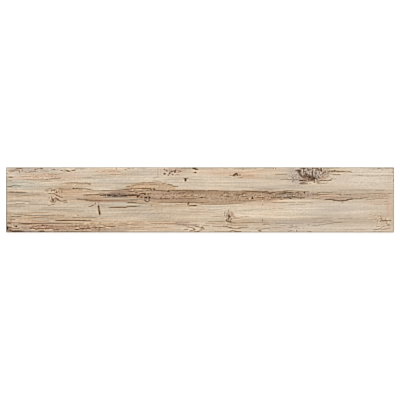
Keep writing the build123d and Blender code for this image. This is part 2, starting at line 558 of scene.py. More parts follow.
# Beetle holes near the far edge
BEETLE_HOLES = (
    Spot("blush", 0.35, 535, 15, 14, 9),
    Flecks("oxblood", 0.45, 0.18, 515, 14, 32, 10),
    Spot("oxblood", 0.8, 486, 7, 2.6, 2.2),
    Spot("oxblood", 0.9, 492.5, 10, 2.8, 2.4),
    Spot("umber", 0.95, 486.5, 20, 3.8, 3.2),
    Spot("umber", 0.95, 502, 18.5, 3.0, 2.8),
    Spot("oxblood", 0.65, 498, 23.5, 2.4, 2.4),
    Spot("oxblood", 0.8, 511, 22.5, 3.0, 2.0),
    Spot("oxblood", 0.7, 508, 13, 4.0, 2.6),
    Spot("oxblood", 1.0, 518, 13.8, 3.2, 4.2),
    Spot("oxblood", 0.5, 521, 9, 2.2, 2.2),
    Spot("rust", 0.6, 530, 11, 3.0, 2.2),
    Spot("oxblood", 0.7, 535, 13, 2.8, 2.2),
    Spot("rust", 0.55, 527, 22, 4.5, 2.0),
    Spot("cream", 0.6, 497, 18, 2.4, 2.4),
    Spot("cream", 0.7, 560, 40.5, 2.6, 1.8),
    Spot("cream", 0.5, 545, 41, 3, 3),
    Spot("charcoal", 1.0, 550.5, 38.4, 3.5, 5.0),
    line("umber", 3.4, 0.72, (545, 34.5), (559, 34)),
    line("grey", 2.6, 0.25, (480, 38), (545, 38)),
    line("grey", 2.4, 0.3, (560, 37.5), (600, 37.5)),
    Spot("charcoal", 1.0, 577.5, 1.4, 6.6, 4.6),
    Spot("umber", 0.9, 584, 6.5, 6, 2.4),
    Spot("cream", 0.6, 583, 11.5, 5, 1.6),
    line("brown", 3.0, 0.55, (573, 16.3), (580, 16.3)),
    Spot("charcoal", 0.98, 581, 16.3, 3.6, 2.4),
)

# The black shake, the eyed knot at its end and the dark lines below
SHAKE = (
    line("olive", 3.2, 0.64, (294, 71), (325, 71.5), (345, 70), (356, 68)),
    line("umber", 3.2, 0.6, (356, 69), (376, 68.5)),
    line("umber", 3.6, 0.66, (238, 86), (262, 84), (285, 83.5)),
    Spot("olive", 0.36, 294, 81.6, 12, 4),
    line("mauve", 3.4, 0.6, (316, 78.5), (345, 77.5), (372, 79)),
    Spot("grey", 0.6, 340, 86, 34, 4.6),
    line("mauve", 3.8, 0.9, (298, 91.5), (330, 92.4), (372, 92)),
    line("sage", 4.6, 0.85, (292, 96.4), (330, 96), (374, 96.6)),
    Flecks("umber", 0.35, 0.25, 300, 85, 30, 6),
    line("soot", 3.6, 0.8, (288, 86.5), (302, 86.5)),
    Spot("soot", 0.9, 305, 85.5, 2.4, 3.4),
    line("soot", 4.6, 0.88, (310, 85), (316, 86.4), (320, 86)),
    line("bark", 5.0, 0.74, (316, 85.4), (335, 84.8), (350, 84.6), (360, 85.6)),
    line("bark", 4.2, 0.8, (326, 88.8), (338, 89), (356, 88.6), (370, 88.6)),
    line("bark", 3.6, 0.46, (300, 82.8), (335, 81.5), (352, 81), (376, 82.4), (404, 82.4)),
    Flecks("bark", 0.36, 0.3, 330, 81.5, 40, 3.4),
    Flecks("soot", 0.8, 0.46, 340, 86.4, 40, 4.6),
    Flecks("lilac", 0.6, 0.24, 342, 86.5, 36, 5),
    Flecks("mauve", 0.55, 0.34, 330, 92, 34, 4),
    Spot("soot", 0.66, 316.6, 85.4, 2.8, 2.2),
    Spot("soot", 0.5, 334, 87.6, 5, 2.4),
    line("charcoal", 5.0, 1.0, (362, 86.6), (375, 86.6), (385, 86.5), (404, 86.2)),
    line("charcoal", 4.8, 0.9, (383, 86.5), (398, 86.5)),
    line("peach", 2.8, 0.6, (384, 90.6), (398, 90.6)),
    line("gold", 3.4, 0.45, (380, 93), (400, 93)),
    line("cream", 2.8, 0.45, (374, 95.6), (400, 95.4)),
    Spot("charcoal", 1.0, 404, 90, 3, 3),
    line("charcoal", 4.8, 1.0, (403, 90), (406, 87.5), (411, 86)),
    Spot("mauve", 0.8, 415, 84.4, 9, 2.2),
    line("charcoal", 3.8, 0.95, (410, 81), (420, 80.2), (428, 80.5)),
    Spot("charcoal", 0.9, 426, 82.5, 3, 3),
    Spot("umber", 0.65, 400, 77, 4, 1.8),
    Spot("peach", 0.7, 413, 77.5, 4, 1.6),
    Spot("umber", 0.65, 436, 82, 3, 3),
    Spot("umber", 0.5, 443, 80, 3, 2),
    Spot("rust", 0.55, 415, 90, 10, 4),
    Spot("oxblood", 0.95, 415.5, 92.5, 3.4, 2.2),
    Spot("gold", 0.5, 424, 92, 4, 2),
    Spot("mauve", 0.62, 433, 100, 6.0, 4.6),
    Ring("bark", 3.8, 0.66, 432, 98.4, 7.4, 7.0),
    line("umber", 3.4, 0.65, (426, 101), (430, 105), (436, 105.5), (441, 101.5)),
    Spot("blush", 0.85, 434, 101.5, 2.6, 2),
    Spot("umber", 0.26, 437, 88.8, 4, 2.4),
    Spot("charcoal", 1.0, 429.6, 92.8, 5.0, 3.4),
    Spot("charcoal", 1.0, 440.2, 92.8, 3.9, 3.3),
    Spot("glint", 0.52, 435.2, 92.0, 1.4, 1.8),
    line("umber", 4.4, 0.42, (217, 97.5), (235, 98.8), (250, 99.4)),
    line("umber", 4.6, 0.54, (244, 100.6), (262, 102.2), (294, 102.5)),
    line("rust", 5.2, 0.66, (268, 102.5), (300, 103), (340, 103.5), (376, 104)),
    line("umber", 2.6, 0.62, (254, 121), (262, 119.5), (266, 117)),
    line("umber", 2.6, 0.62, (262, 118), (268, 116), (270, 113)),
    line("umber", 3.0, 0.8, (274, 113), (274, 108)),
    line("grey", 3.0, 0.45, (283.5, 106), (284, 114)),
    Spot("cream", 0.55, 280, 136, 2, 7),
    line("olive", 6.2, 1.0, (283.6, 119), (285, 128), (287, 139), (288, 144.4)),
    Spot("charcoal", 0.95, 284, 121.2, 2.6, 3.6),
    Spot("charcoal", 1.0, 287.2, 141, 2.7, 4.6),
    Spot("grey", 0.4, 296, 120, 2.6, 2),
    line("grey", 2.6, 0.35, (296, 123.5), (320, 123.5)),
    line("mist", 7.0, 0.7, (322, 112), (374, 112)),
    line("olive", 3.8, 1.0, (316, 123.4), (345, 123), (370, 123)),
    line("umber", 2.4, 0.5, (326, 123.4), (366, 123)),
    line("olive", 4.6, 0.7, (372, 108.5), (400, 108.8)),
    line("brown", 3.4, 0.7, (398, 110.5), (412, 112), (432, 111.5)),
    line("gold", 5.0, 0.75, (402, 107), (426, 107)),
    line("mist", 4.0, 0.6, (368, 112), (400, 115.5), (426, 116.5)),
    line("olive", 3.4, 0.95, (370, 120.8), (386, 120.2), (400, 120.2)),
    line("umber", 2.4, 0.5, (378, 120.4), (394, 120.2)),
    line("olive", 2.6, 0.45, (398, 120), (414, 118.5)),
    Spot("brown", 0.4, 446, 117, 3, 3),
    line("tan", 7.0, 0.75, (430, 111.6), (450, 112.6), (474, 113.6)),
)

# Lines on the lobe
LOBE = (
    line("olive", 3.0, 0.6, (368, 59.5), (390, 57.5), (396, 54)),
    line("gold", 3.2, 0.5, (384, 54), (400, 49), (415, 47)),
    line("brown", 3.0, 0.55, (414, 46.5), (440, 46.5), (456, 46)),
    line("brown", 3.0, 0.45, (452, 41), (470, 43), (478, 46.5)),
    line("olive", 3.0, 0.36, (480, 50), (492, 49.5)),
    line("olive", 3.2, 0.68, (496, 52.5), (504, 53), (511, 56)),
    line("olive", 3.2, 0.8, (512, 58.5), (520, 59.2), (528, 58.8)),
    line("rust", 3.6, 0.5, (400, 53), (415, 53), (431, 52.5)),
    line("brown", 3.0, 0.45, (440, 52.5), (470, 53)),
    line("peach", 3.0, 0.3, (384, 61), (440, 61)),
    line("umber", 3.0, 0.5, (382, 65), (400, 64.5)),
    line("umber", 3.4, 0.72, (402, 65), (420, 65), (441, 65)),
    line("umber", 3.0, 0.5, (441, 65), (456, 65)),
    line("peach", 3.4, 0.75, (398, 68.5), (416, 68)),
    Spot("cream", 0.6, 388, 70, 3, 3),
    line("umber", 2.8, 0.5, (430, 71.5), (440, 70.5)),
    line("umber", 5.0, 0.8, (443, 65), (446, 71)),
    Spot("umber", 0.8, 455, 68.8, 3, 2.8),
    line("brown", 3.2, 0.55, (374, 68), (385, 69)),
    line("umber", 3.0, 0.6, (374, 75), (392, 74.5)),
    line("umber", 3.0, 0.55, (408, 74), (420, 74)),
    line("peach", 3.4, 0.5, (490, 67.5), (560, 67)),
)

# Edges, lines and flecks of the heart
HEART_MARKS = (
    Flecks("umber", 0.3, 0.3, 540, 88, 120, 16),
    Flecks("peach", 0.3, 0.25, 530, 90, 120, 16),
    Flecks("umber", 0.28, 0.3, 690, 92, 80, 18),
    Flecks("peach", 0.28, 0.22, 690, 92, 80, 18),
    Flecks("umber", 0.45, 0.35, 800, 88, 60, 11),
    Flecks("peach", 0.4, 0.3, 795, 90, 60, 11),
    Flecks("cream", 0.5, 0.24, 780, 88, 32, 11),
    Flecks("umber", 0.45, 0.25, 920, 86, 60, 9),
    line("umber", 3.4, 0.62, (452, 70.5), (470, 71), (480, 71.5)),
    line("umber", 5.0, 0.48, (480, 73), (490, 73.5), (500, 73)),
    line("umber", 3.8, 0.68, (498, 70.5), (530, 71), (565, 71.3)),
    line("umber", 3.6, 0.44, (560, 72), (585, 71), (612, 71.5)),
    line("umber", 4.0, 0.52, (618, 72), (636, 71), (650, 72)),
    line("umber", 3.0, 0.32, (648, 73), (720, 74.5)),
    line("olive", 4.4, 0.85, (724, 73.6), (745, 74), (770, 74.5), (788, 75.5)),
    line("umber", 4.0, 0.72, (786, 76.5), (800, 75), (806, 78)),
    line("umber", 4.4, 0.92, (804, 79), (810, 81), (814, 79.5)),
    line("umber", 4.0, 0.92, (814, 77), (826, 77)),
    Spot("cream", 0.12, 822, 80.5, 3.6, 1.4),
    line("umber", 3.2, 0.52, (830, 75), (864, 74.4)),
    line("bark", 3.6, 0.62, (837, 80.5), (842, 80)),
    line("umber", 5.6, 0.62, (845, 81), (857, 78)),
    line("umber", 4.2, 0.66, (854, 78), (880, 77.5)),
    Spot("umber", 0.6, 872, 77.5, 4, 2),
    line("olive", 3.2, 0.48, (850, 72), (884, 71.6)),
    line("umber", 3.6, 0.65, (890, 77.5), (898, 77)),
    Spot("charcoal", 1.0, 915, 77, 2.8, 2.6),
    line("olive", 3.0, 0.45, (885, 73), (930, 75)),
    line("bark", 3.2, 0.5, (868, 83), (888, 83.5)),
    line("grey", 3.0, 0.5, (856, 83), (868, 82)),
    Spot("umber", 0.7, 498, 74, 3, 3),
    line("oxblood", 3.4, 0.55, (446, 95), (462, 96)),
    line("oxblood", 3.6, 0.8, (472, 96), (483, 96)),
    line("oxblood", 3.4, 0.75, (486, 96), (501, 95.5)),
    line("oxblood", 3.4, 0.36, (505, 96), (560, 96.5), (582, 96.5)),
    Spot("umber", 0.4, 532, 80, 4, 2.2),
    Spot("umber", 0.38, 545, 78, 6, 2.4),
    Spot("umber", 0.32, 482, 86, 3, 2.2),
    Spot("umber", 0.3, 549, 90, 13, 3),
    Spot("umber", 0.4, 570, 87, 3.5, 2.4),
    Spot("umber", 0.36, 572, 75, 4, 2.4),
    line("umber", 3.0, 0.6, (588, 93.3), (598, 93)),
    Spot("charcoal", 0.76, 601, 92.8, 4.2, 2.2),
    line("umber", 2.8, 0.55, (609, 93), (617, 93)),
    Spot("umber", 0.44, 670, 78, 2.2, 3),
    Spot("umber", 0.42, 678, 78, 5, 2),
    Spot("umber", 0.38, 661, 87, 5, 2),
    Spot("umber", 0.42, 680, 89.5, 9, 2.2),
    Spot("umber", 0.42, 712, 83.5, 12, 2),
    Spot("umber", 0.48, 725, 83, 2.6, 3.2),
    Spot("umber", 0.5, 732, 79.5, 8, 2.4),
    Spot("cream", 0.62, 730, 86.4, 4.4, 1.7),
    Spot("peach", 0.65, 672, 85, 4.4, 1.7),
    Spot("peach", 0.55, 694, 83, 3, 2),
    line("umber", 3.2, 0.65, (722, 90.5), (738, 90)),
    line("umber", 3.0, 0.55, (736, 95.5), (745, 97)),
    Spot("cream", 0.55, 747, 96, 2.2, 2.4),
    Spot("charcoal", 1.0, 756, 92.5, 2.3, 3),
    Spot("charcoal", 1.0, 756, 96, 3.6, 2.2),
    line("umber", 3.4, 0.52, (766, 93), (795, 93)),
    line("umber", 3.6, 0.65, (812, 93), (828, 93.5)),
    line("umber", 3.8, 0.66, (830, 93.5), (843, 93)),
    line("umber", 4.2, 0.7, (852, 93), (869, 93)),
    Spot("bark", 0.7, 873, 95, 3.8, 3.0),
    Spot("umber", 0.8, 878.5, 90, 2.2, 2.8),
    Spot("umber", 0.95, 885, 90, 2.8, 2.8),
    line("bark", 3.4, 0.6, (888, 93.5), (900, 94)),
    line("umber", 3.6, 0.58, (902, 93), (916, 93.5)),
    Spot("bark", 0.55, 904, 95, 3, 2.6),
    Spot("lilac", 0.56, 856, 87.2, 12, 3.4),
    Flecks("bark", 0.4, 0.31, 872, 86, 37, 9),
    Flecks("lilac", 0.45, 0.22, 866, 86, 40, 9),
    Spot("cream", 0.6, 884, 86.6, 4, 1.5),
    line("brown", 3.2, 0.62, (466, 108), (500, 107.5)),
    line("brown", 3.6, 0.8, (500, 108), (530, 107.8), (562, 108)),
    Spot("umber", 0.55, 536, 108, 6, 1.8),
    line("brown", 5.0, 0.76, (558, 108.6), (604, 110)),
    line("brown", 3.2, 0.7, (590, 108.3), (622, 108.5)),
    line("brown", 3.4, 0.42, (596, 114), (642, 114)),
    line("brown", 3.2, 0.48, (640, 114), (682, 114)),
    line("brown", 3.2, 0.45, (685, 111), (718, 111)),
    line("umber", 3.2, 0.26, (690, 102), (735, 103)),
    line("umber", 3.2, 0.28, (740, 102), (766, 102)),
    line("brown", 3.0, 0.4, (520, 114), (550, 114)),
    line("cream", 4.6, 0.6, (850, 102.4), (890, 102.4), (944, 102.6)),
    line("peach", 5.0, 0.9, (818, 103.6), (835, 103.6), (850, 103), (866, 102.6)),
    line("glint", 3.6, 0.6, (834, 103.6), (848, 103.2), (864, 102.8)),
    line("umber", 3.0, 0.6, (842, 99), (848, 97.5)),
    line("brown", 3.2, 0.62, (816, 108.5), (846, 108.3), (864, 108)),
    line("brown", 3.0, 0.38, (860, 108), (900, 108), (944, 108)),
    line("brown", 3.0, 0.36, (868, 115), (890, 114), (918, 114.5)),
    Spot("cream", 0.6, 787, 103, 2, 2.6),
    Spot("brown", 0.5, 787, 114.5, 2, 3),
    line("brown", 3.6, 0.75, (955, 78), (975, 77), (988, 77.5)),
    line("brown", 3.0, 0.5, (986, 78), (1002, 78)),
    line("olive", 3.2, 0.5, (940, 84), (962, 84), (990, 83)),
    line("cream", 3.0, 0.4, (962, 80.5), (986, 80.5)),
    line("peach", 3.4, 0.75, (961, 87.5), (1000, 87), (1024, 86.5)),
    line("brown", 3.0, 0.55, (1012, 83), (1024, 83)),
    Spot("umber", 0.45, 1026, 84, 2.4, 2.4),
    Spot("brown", 0.5, 1038, 83.5, 2.4, 2),
    line("umber", 3.0, 0.45, (1042, 84), (1051, 84)),
    Spot("umber", 0.38, 1056, 83.5, 3, 2),
    line("rust", 3.4, 0.5, (963, 91), (985, 90.5), (1010, 92)),
    line("mauve", 3.6, 0.7, (1010, 92.5), (1035, 93), (1062, 92.5)),
    line("umber", 3.0, 0.4, (938, 96), (964, 95.5)),
    line("peach", 3.0, 0.5, (970, 95.5), (990, 94.5)),
    line("umber", 3.8, 0.85, (979, 98.2), (994, 98.8), (1009, 100.8)),
    line("umber", 3.4, 1.0, (1002, 100.8), (1014, 102.4), (1032, 102.8), (1047, 101.6)),
    line("charcoal", 2.6, 0.6, (1008, 102), (1024, 102.7), (1040, 102.3)),
    line("umber", 4.2, 0.95, (1043, 101), (1052, 99.2), (1062, 97.6)),
    Spot("charcoal", 0.5, 1056, 98.4, 5, 2),
    line("brown", 3.6, 0.8, (1058, 96), (1075, 96.5), (1092, 95.5)),
    line("brown", 3.4, 0.55, (1088, 95), (1112, 93)),
    Spot("grey", 0.65, 1032, 107.5, 4.5, 1.8),
    line("cream", 3.0, 0.5, (985, 102.8), (1001, 103.4)),
    Spot("lilac", 0.4, 1029, 111.2, 6, 2.4),
    Spot("cream", 0.5, 1058, 103, 4, 1.6),
    line("drift", 3.6, 0.6, (1020, 70), (1080, 70)),
    line("drift", 3.6, 0.65, (1084, 71), (1111, 70.5)),
    line("olive", 3.4, 0.2, (1133, 71), (1161, 71)),
    line("rust", 4.0, 0.45, (1060, 82), (1090, 82.5), (1106, 83)),
    line("brown", 3.4, 0.38, (1108, 80.5), (1135, 80.5)),
    line("brown", 3.2, 0.44, (1131, 80.5), (1161, 80.5)),
    line("olive", 3.0, 0.36, (1171, 80.5), (1185, 80.5)),
    line("olive", 3.0, 0.3, (1160, 84), (1166, 84)),
    line("brown", 3.0, 0.42, (1130, 96), (1151, 96)),
    line("brown", 3.2, 0.42, (1149, 96), (1171, 96.5)),
    line("peach", 3.4, 0.5, (1158, 92), (1172, 92.5)),
    line("brown", 3.4, 0.45, (1104, 99), (1131, 99)),
)

# Below the heart: the hooked crack, faint growth lines and the arrowheads at the near edge
BELOW_HEART = (
    line("umber", 5.4, 1.0, (560.5, 107), (558.4, 115.2)),
    Spot("charcoal", 0.5, 559.6, 111, 1.8, 3),
    Spot("cream", 0.36, 565, 113.4, 2.2, 1.4),
    Spot("cream", 0.5, 566, 121, 3, 1.3),
    line("umber", 3.8, 1.0, (562, 117.5), (585, 117.4)),
    Spot("charcoal", 0.85, 578.5, 117.4, 4.8, 1.8),
    line("brown", 3.0, 0.22, (370, 138), (420, 139)),
    line("rust", 3.0, 0.3, (370, 165), (422, 166)),
    line("brown", 3.0, 0.4, (438, 166), (502, 165.5)),
    line("rust", 3.4, 0.45, (385, 172), (422, 171)),
    line("mauve", 3.0, 0.5, (316, 174), (330, 172.5)),
    line("brown", 3.2, 0.55, (346, 173), (358, 172), (373, 172.5)),
    line("brown", 3.0, 0.45, (345, 178.5), (372, 178)),
    line("brown", 3.4, 0.6, (444, 172), (480, 173), (501, 172)),
    line("rust", 4.2, 0.7, (496, 173.5), (515, 172.5), (525, 171)),
    line("mauve", 4.0, 0.55, (520, 169), (545, 169), (566, 170)),
    line("mauve", 4.2, 0.6, (366, 176), (385, 176), (403, 178)),
    line("peach", 3.4, 0.75, (378, 181.5), (403, 181.5)),
    line("rust", 3.2, 0.6, (380, 185), (402, 184.5), (423, 184)),
    line("brown", 3.0, 0.36, (446, 184.5), (498, 184.5)),
    line("gold", 3.0, 0.55, (372, 191), (426, 191)),
    line("cream", 3.8, 0.65, (378, 194.2), (432, 193.8)),
    line("peach", 4.0, 0.55, (440, 180), (522, 181)),
    line("peach", 4.0, 0.55, (440, 190), (522, 190)),
    line("peach", 3.2, 0.55, (446, 169), (520, 169)),
    line("lilac", 3.6, 0.6, (366, 197.4), (450, 197.4), (562, 197.8)),
    line("mauve", 6.6, 0.84, (522, 174.5), (545, 176), (574, 177.4), (590, 176)),
    line("peach", 3.4, 0.65, (560, 172), (586, 172)),
    line("glint", 3.8, 0.6, (538, 189), (560, 187.5), (569, 190), (554, 192.6)),
    line("olive", 3.0, 0.6, (546, 190.4), (558, 190.4)),
    line("oxblood", 3.2, 0.7, (554, 183), (570, 185.5), (579, 190), (574, 193.5), (564, 194.8)),
    line("cream", 3.6, 0.7, (560, 181.2), (578, 184.5), (590, 189.5), (579, 194.6)),
    line("brown", 3.2, 0.65, (578, 181.5), (592, 184), (600, 189.5), (596, 194), (584, 197)),
    line("brown", 4.8, 0.75, (600, 184), (604, 187), (608, 190)),
    Spot("umber", 0.5, 602, 184.5, 3, 2),
    line("umber", 3.4, 0.66, (576, 197.4), (592, 197.4)),
    line("umber", 3.0, 0.6, (582, 181.5), (590, 182)),
    line("brown", 3.0, 0.55, (603, 178.5), (624, 178.5)),
    line("brown", 2.8, 0.32, (560, 129.5), (612, 129)),
    line("brown", 2.6, 0.3, (620, 131), (662, 130)),
    line("brown", 2.6, 0.3, (560, 139), (642, 138)),
    line("cream", 3.0, 0.35, (560, 149), (642, 149)),
    line("brown", 2.6, 0.32, (630, 152), (662, 151.5)),
    line("cream", 3.2, 0.45, (590, 155), (662, 154.5)),
)

# The inverted-V knot, the teardrop knot and the lines that bend below it
MIDDLE_KNOTS = (
    Flecks("umber", 0.35, 0.25, 712, 20, 14, 9),
    Spot("olive", 0.45, 704.5, 25, 2.6, 2.4),
    Spot("cream", 0.5, 698, 29.5, 3, 1.6),
    line("charcoal", 5.6, 1.0, (698.6, 25), (701.4, 21.6)),
    line("charcoal", 4.6, 0.98, (702.4, 20), (708, 19.2)),
    line("charcoal", 5.0, 0.82, (708, 19.5), (711, 25.4)),
    line("umber", 4.0, 0.7, (697, 25.5), (702, 24.5)),
    line("olive", 3.0, 0.45, (684, 24), (697, 25.5)),
    Spot("umber", 0.42, 717.5, 23.5, 3, 2.4),
    line("rust", 4.0, 0.65, (715, 31), (727, 31.5)),
    line("peach", 4.4, 0.65, (726, 31), (745, 30.5), (771, 29.5)),
    line("rust", 3.6, 0.42, (714, 25.4), (740, 26.4), (762, 27)),
    line("brown", 2.8, 0.26, (667, 31), (691, 31)),
    line("cream", 3.0, 0.4, (608, 56), (642, 56)),
    line("peach", 3.2, 0.8, (618, 67.5), (670, 68)),
    line("brown", 2.8, 0.22, (700, 61.5), (762, 62)),
    Spot("mauve", 0.22, 683, 147, 14, 15),
    Flecks("mauve", 0.6, 0.4, 676, 147, 10, 15),
    Flecks("brown", 0.5, 0.35, 688, 146, 12, 15),
    Flecks("umber", 0.38, 0.26, 684, 153, 13, 16),
    Flecks("cream", 0.5, 0.25, 680, 148, 14, 16),
    line("umber", 2.6, 0.55, (682.5, 131), (682, 135)),
    line("brown", 2.6, 0.5, (672, 134), (670, 142), (671, 150)),
    line("brown", 2.6, 0.45, (676, 146), (676, 154)),
    line("rust", 4.8, 0.58, (689, 137), (695, 143), (697, 151), (702, 155.6), (714, 158)),
    line("tan", 5.0, 0.6, (694, 147), (700, 152), (722, 157)),
    line("umber", 3.0, 0.65, (682, 157), (682, 162)),
    Spot("umber", 0.75, 676.5, 163, 2.6, 3),
    line("umber", 3.4, 0.62, (693, 156.6), (688, 162)),
    line("umber", 4.4, 0.8, (679, 166), (691, 167)),
    line("brown", 3.4, 0.65, (687, 168.5), (694, 170), (703, 169.5)),
    Spot("cream", 0.6, 676, 170, 3, 2),
    Spot("cream", 0.4, 673, 157, 3, 3),
    line("umber", 3.8, 0.8, (682, 146), (684, 151)),
    line("charcoal", 6.2, 1.0, (684, 150.6), (685, 153.6)),
    line("brown", 3.2, 0.5, (620, 166.5), (652, 166)),
    line("brown", 3.4, 0.65, (650, 166), (671, 165.5)),
    line("brown", 3.2, 0.45, (610, 172), (642, 172)),
    line("mauve", 3.0, 0.35, (630, 175), (671, 174)),
    line("brown", 3.0, 0.55, (676, 176), (693, 176.5)),
    line("brown", 3.2, 0.5, (690, 178.6), (742, 179)),
    line("brown", 3.4, 0.6, (634, 181.5), (668, 181.8)),
    line("umber", 3.8, 0.8, (666, 181.5), (680, 182.2)),
    line("peach", 3.2, 0.75, (680, 179.5), (690, 182), (720, 181.7)),
    line("umber", 3.8, 0.78, (679, 184), (692, 186)),
    line("brown", 3.8, 0.7, (690, 186.5), (706, 187.8), (720, 188)),
    line("brown", 3.4, 0.78, (714, 185), (744, 184.8)),
    line("peach", 3.2, 0.6, (690, 191), (720, 191)),
    line("umber", 3.6, 0.7, (686, 196.4), (696, 194.5), (704, 195.5)),
    line("umber", 3.8, 0.72, (701, 196.4), (721, 197.4)),
    line("brown", 3.2, 0.5, (640, 197.5), (686, 197)),
    line("grey", 3.0, 0.24, (698, 134), (740, 133), (762, 130)),
    line("glint", 3.0, 0.45, (718, 148), (762, 148)),
    line("brown", 2.8, 0.38, (720, 151), (747, 151)),
    line("cream", 3.0, 0.5, (703, 160.5), (722, 160.5)),
    line("brown", 3.4, 0.45, (724, 169.5), (758, 169)),
    line("peach", 3.0, 0.6, (810, 123), (842, 123.5)),
    line("brown", 3.0, 0.28, (808, 127), (852, 126.5)),
    line("cream", 3.0, 0.45, (750, 148), (822, 148)),
    line("glint", 3.4, 0.45, (813, 154), (892, 154)),
    line("brown", 3.0, 0.48, (787, 157), (787, 169)),
    line("brown", 2.6, 0.38, (779, 163), (795, 163)),
    line("brown", 3.2, 0.34, (750, 169), (802, 169.5)),
    line("olive", 3.0, 0.42, (788, 175), (808, 174.5)),
    line("grey", 3.2, 0.52, (826, 173), (845, 172), (868, 173)),
    line("grey", 3.0, 0.42, (866, 174), (912, 171)),
    line("grey", 3.0, 0.48, (839, 179), (857, 178)),
    Spot("grey", 0.5, 878, 178, 6, 2),
    Spot("grey", 0.5, 928, 176, 3, 2),
    line("rust", 3.0, 0.4, (816, 185), (842, 185)),
    line("mauve", 3.0, 0.55, (867, 185), (878, 183), (892, 181.5)),
    line("glint", 3.0, 0.45, (867, 189), (886, 187)),
    line("milk", 3.2, 0.6, (600, 117.5), (680, 117)),
    line("milk", 3.0, 0.5, (620, 127), (665, 127)),
    line("milk", 3.0, 0.5, (840, 175.5), (854, 175)),
    Spot("milk", 0.6, 883, 178, 4, 1.6),
    line("milk", 3.0, 0.5, (794, 178.6), (808, 178.4)),
    line("milk", 3.2, 0.55, (796, 192), (806, 191.5)),
    line("mauve", 3.0, 0.5, (868, 184.5), (880, 184.6)),
    Flecks("milk", 0.5, 0.3, 895, 186, 28, 9),
    Flecks("mauve", 0.45, 0.22, 895, 184, 28, 9),
    line("umber", 3.4, 0.7, (774, 193.5), (783, 196.4)),
    line("brown", 3.0, 0.6, (776, 193), (790, 189), (809, 188)),
    line("brown", 3.0, 0.5, (767, 188), (777, 186)),
    line("mauve", 3.4, 0.75, (866, 196), (877, 194.5)),
    Spot("umber", 0.4, 891.5, 195.6, 1.8, 3),
    Spot("glint", 0.6, 888.5, 195, 1.4, 3),
    line("mauve", 3.4, 0.8, (925, 197), (937, 197)),
)

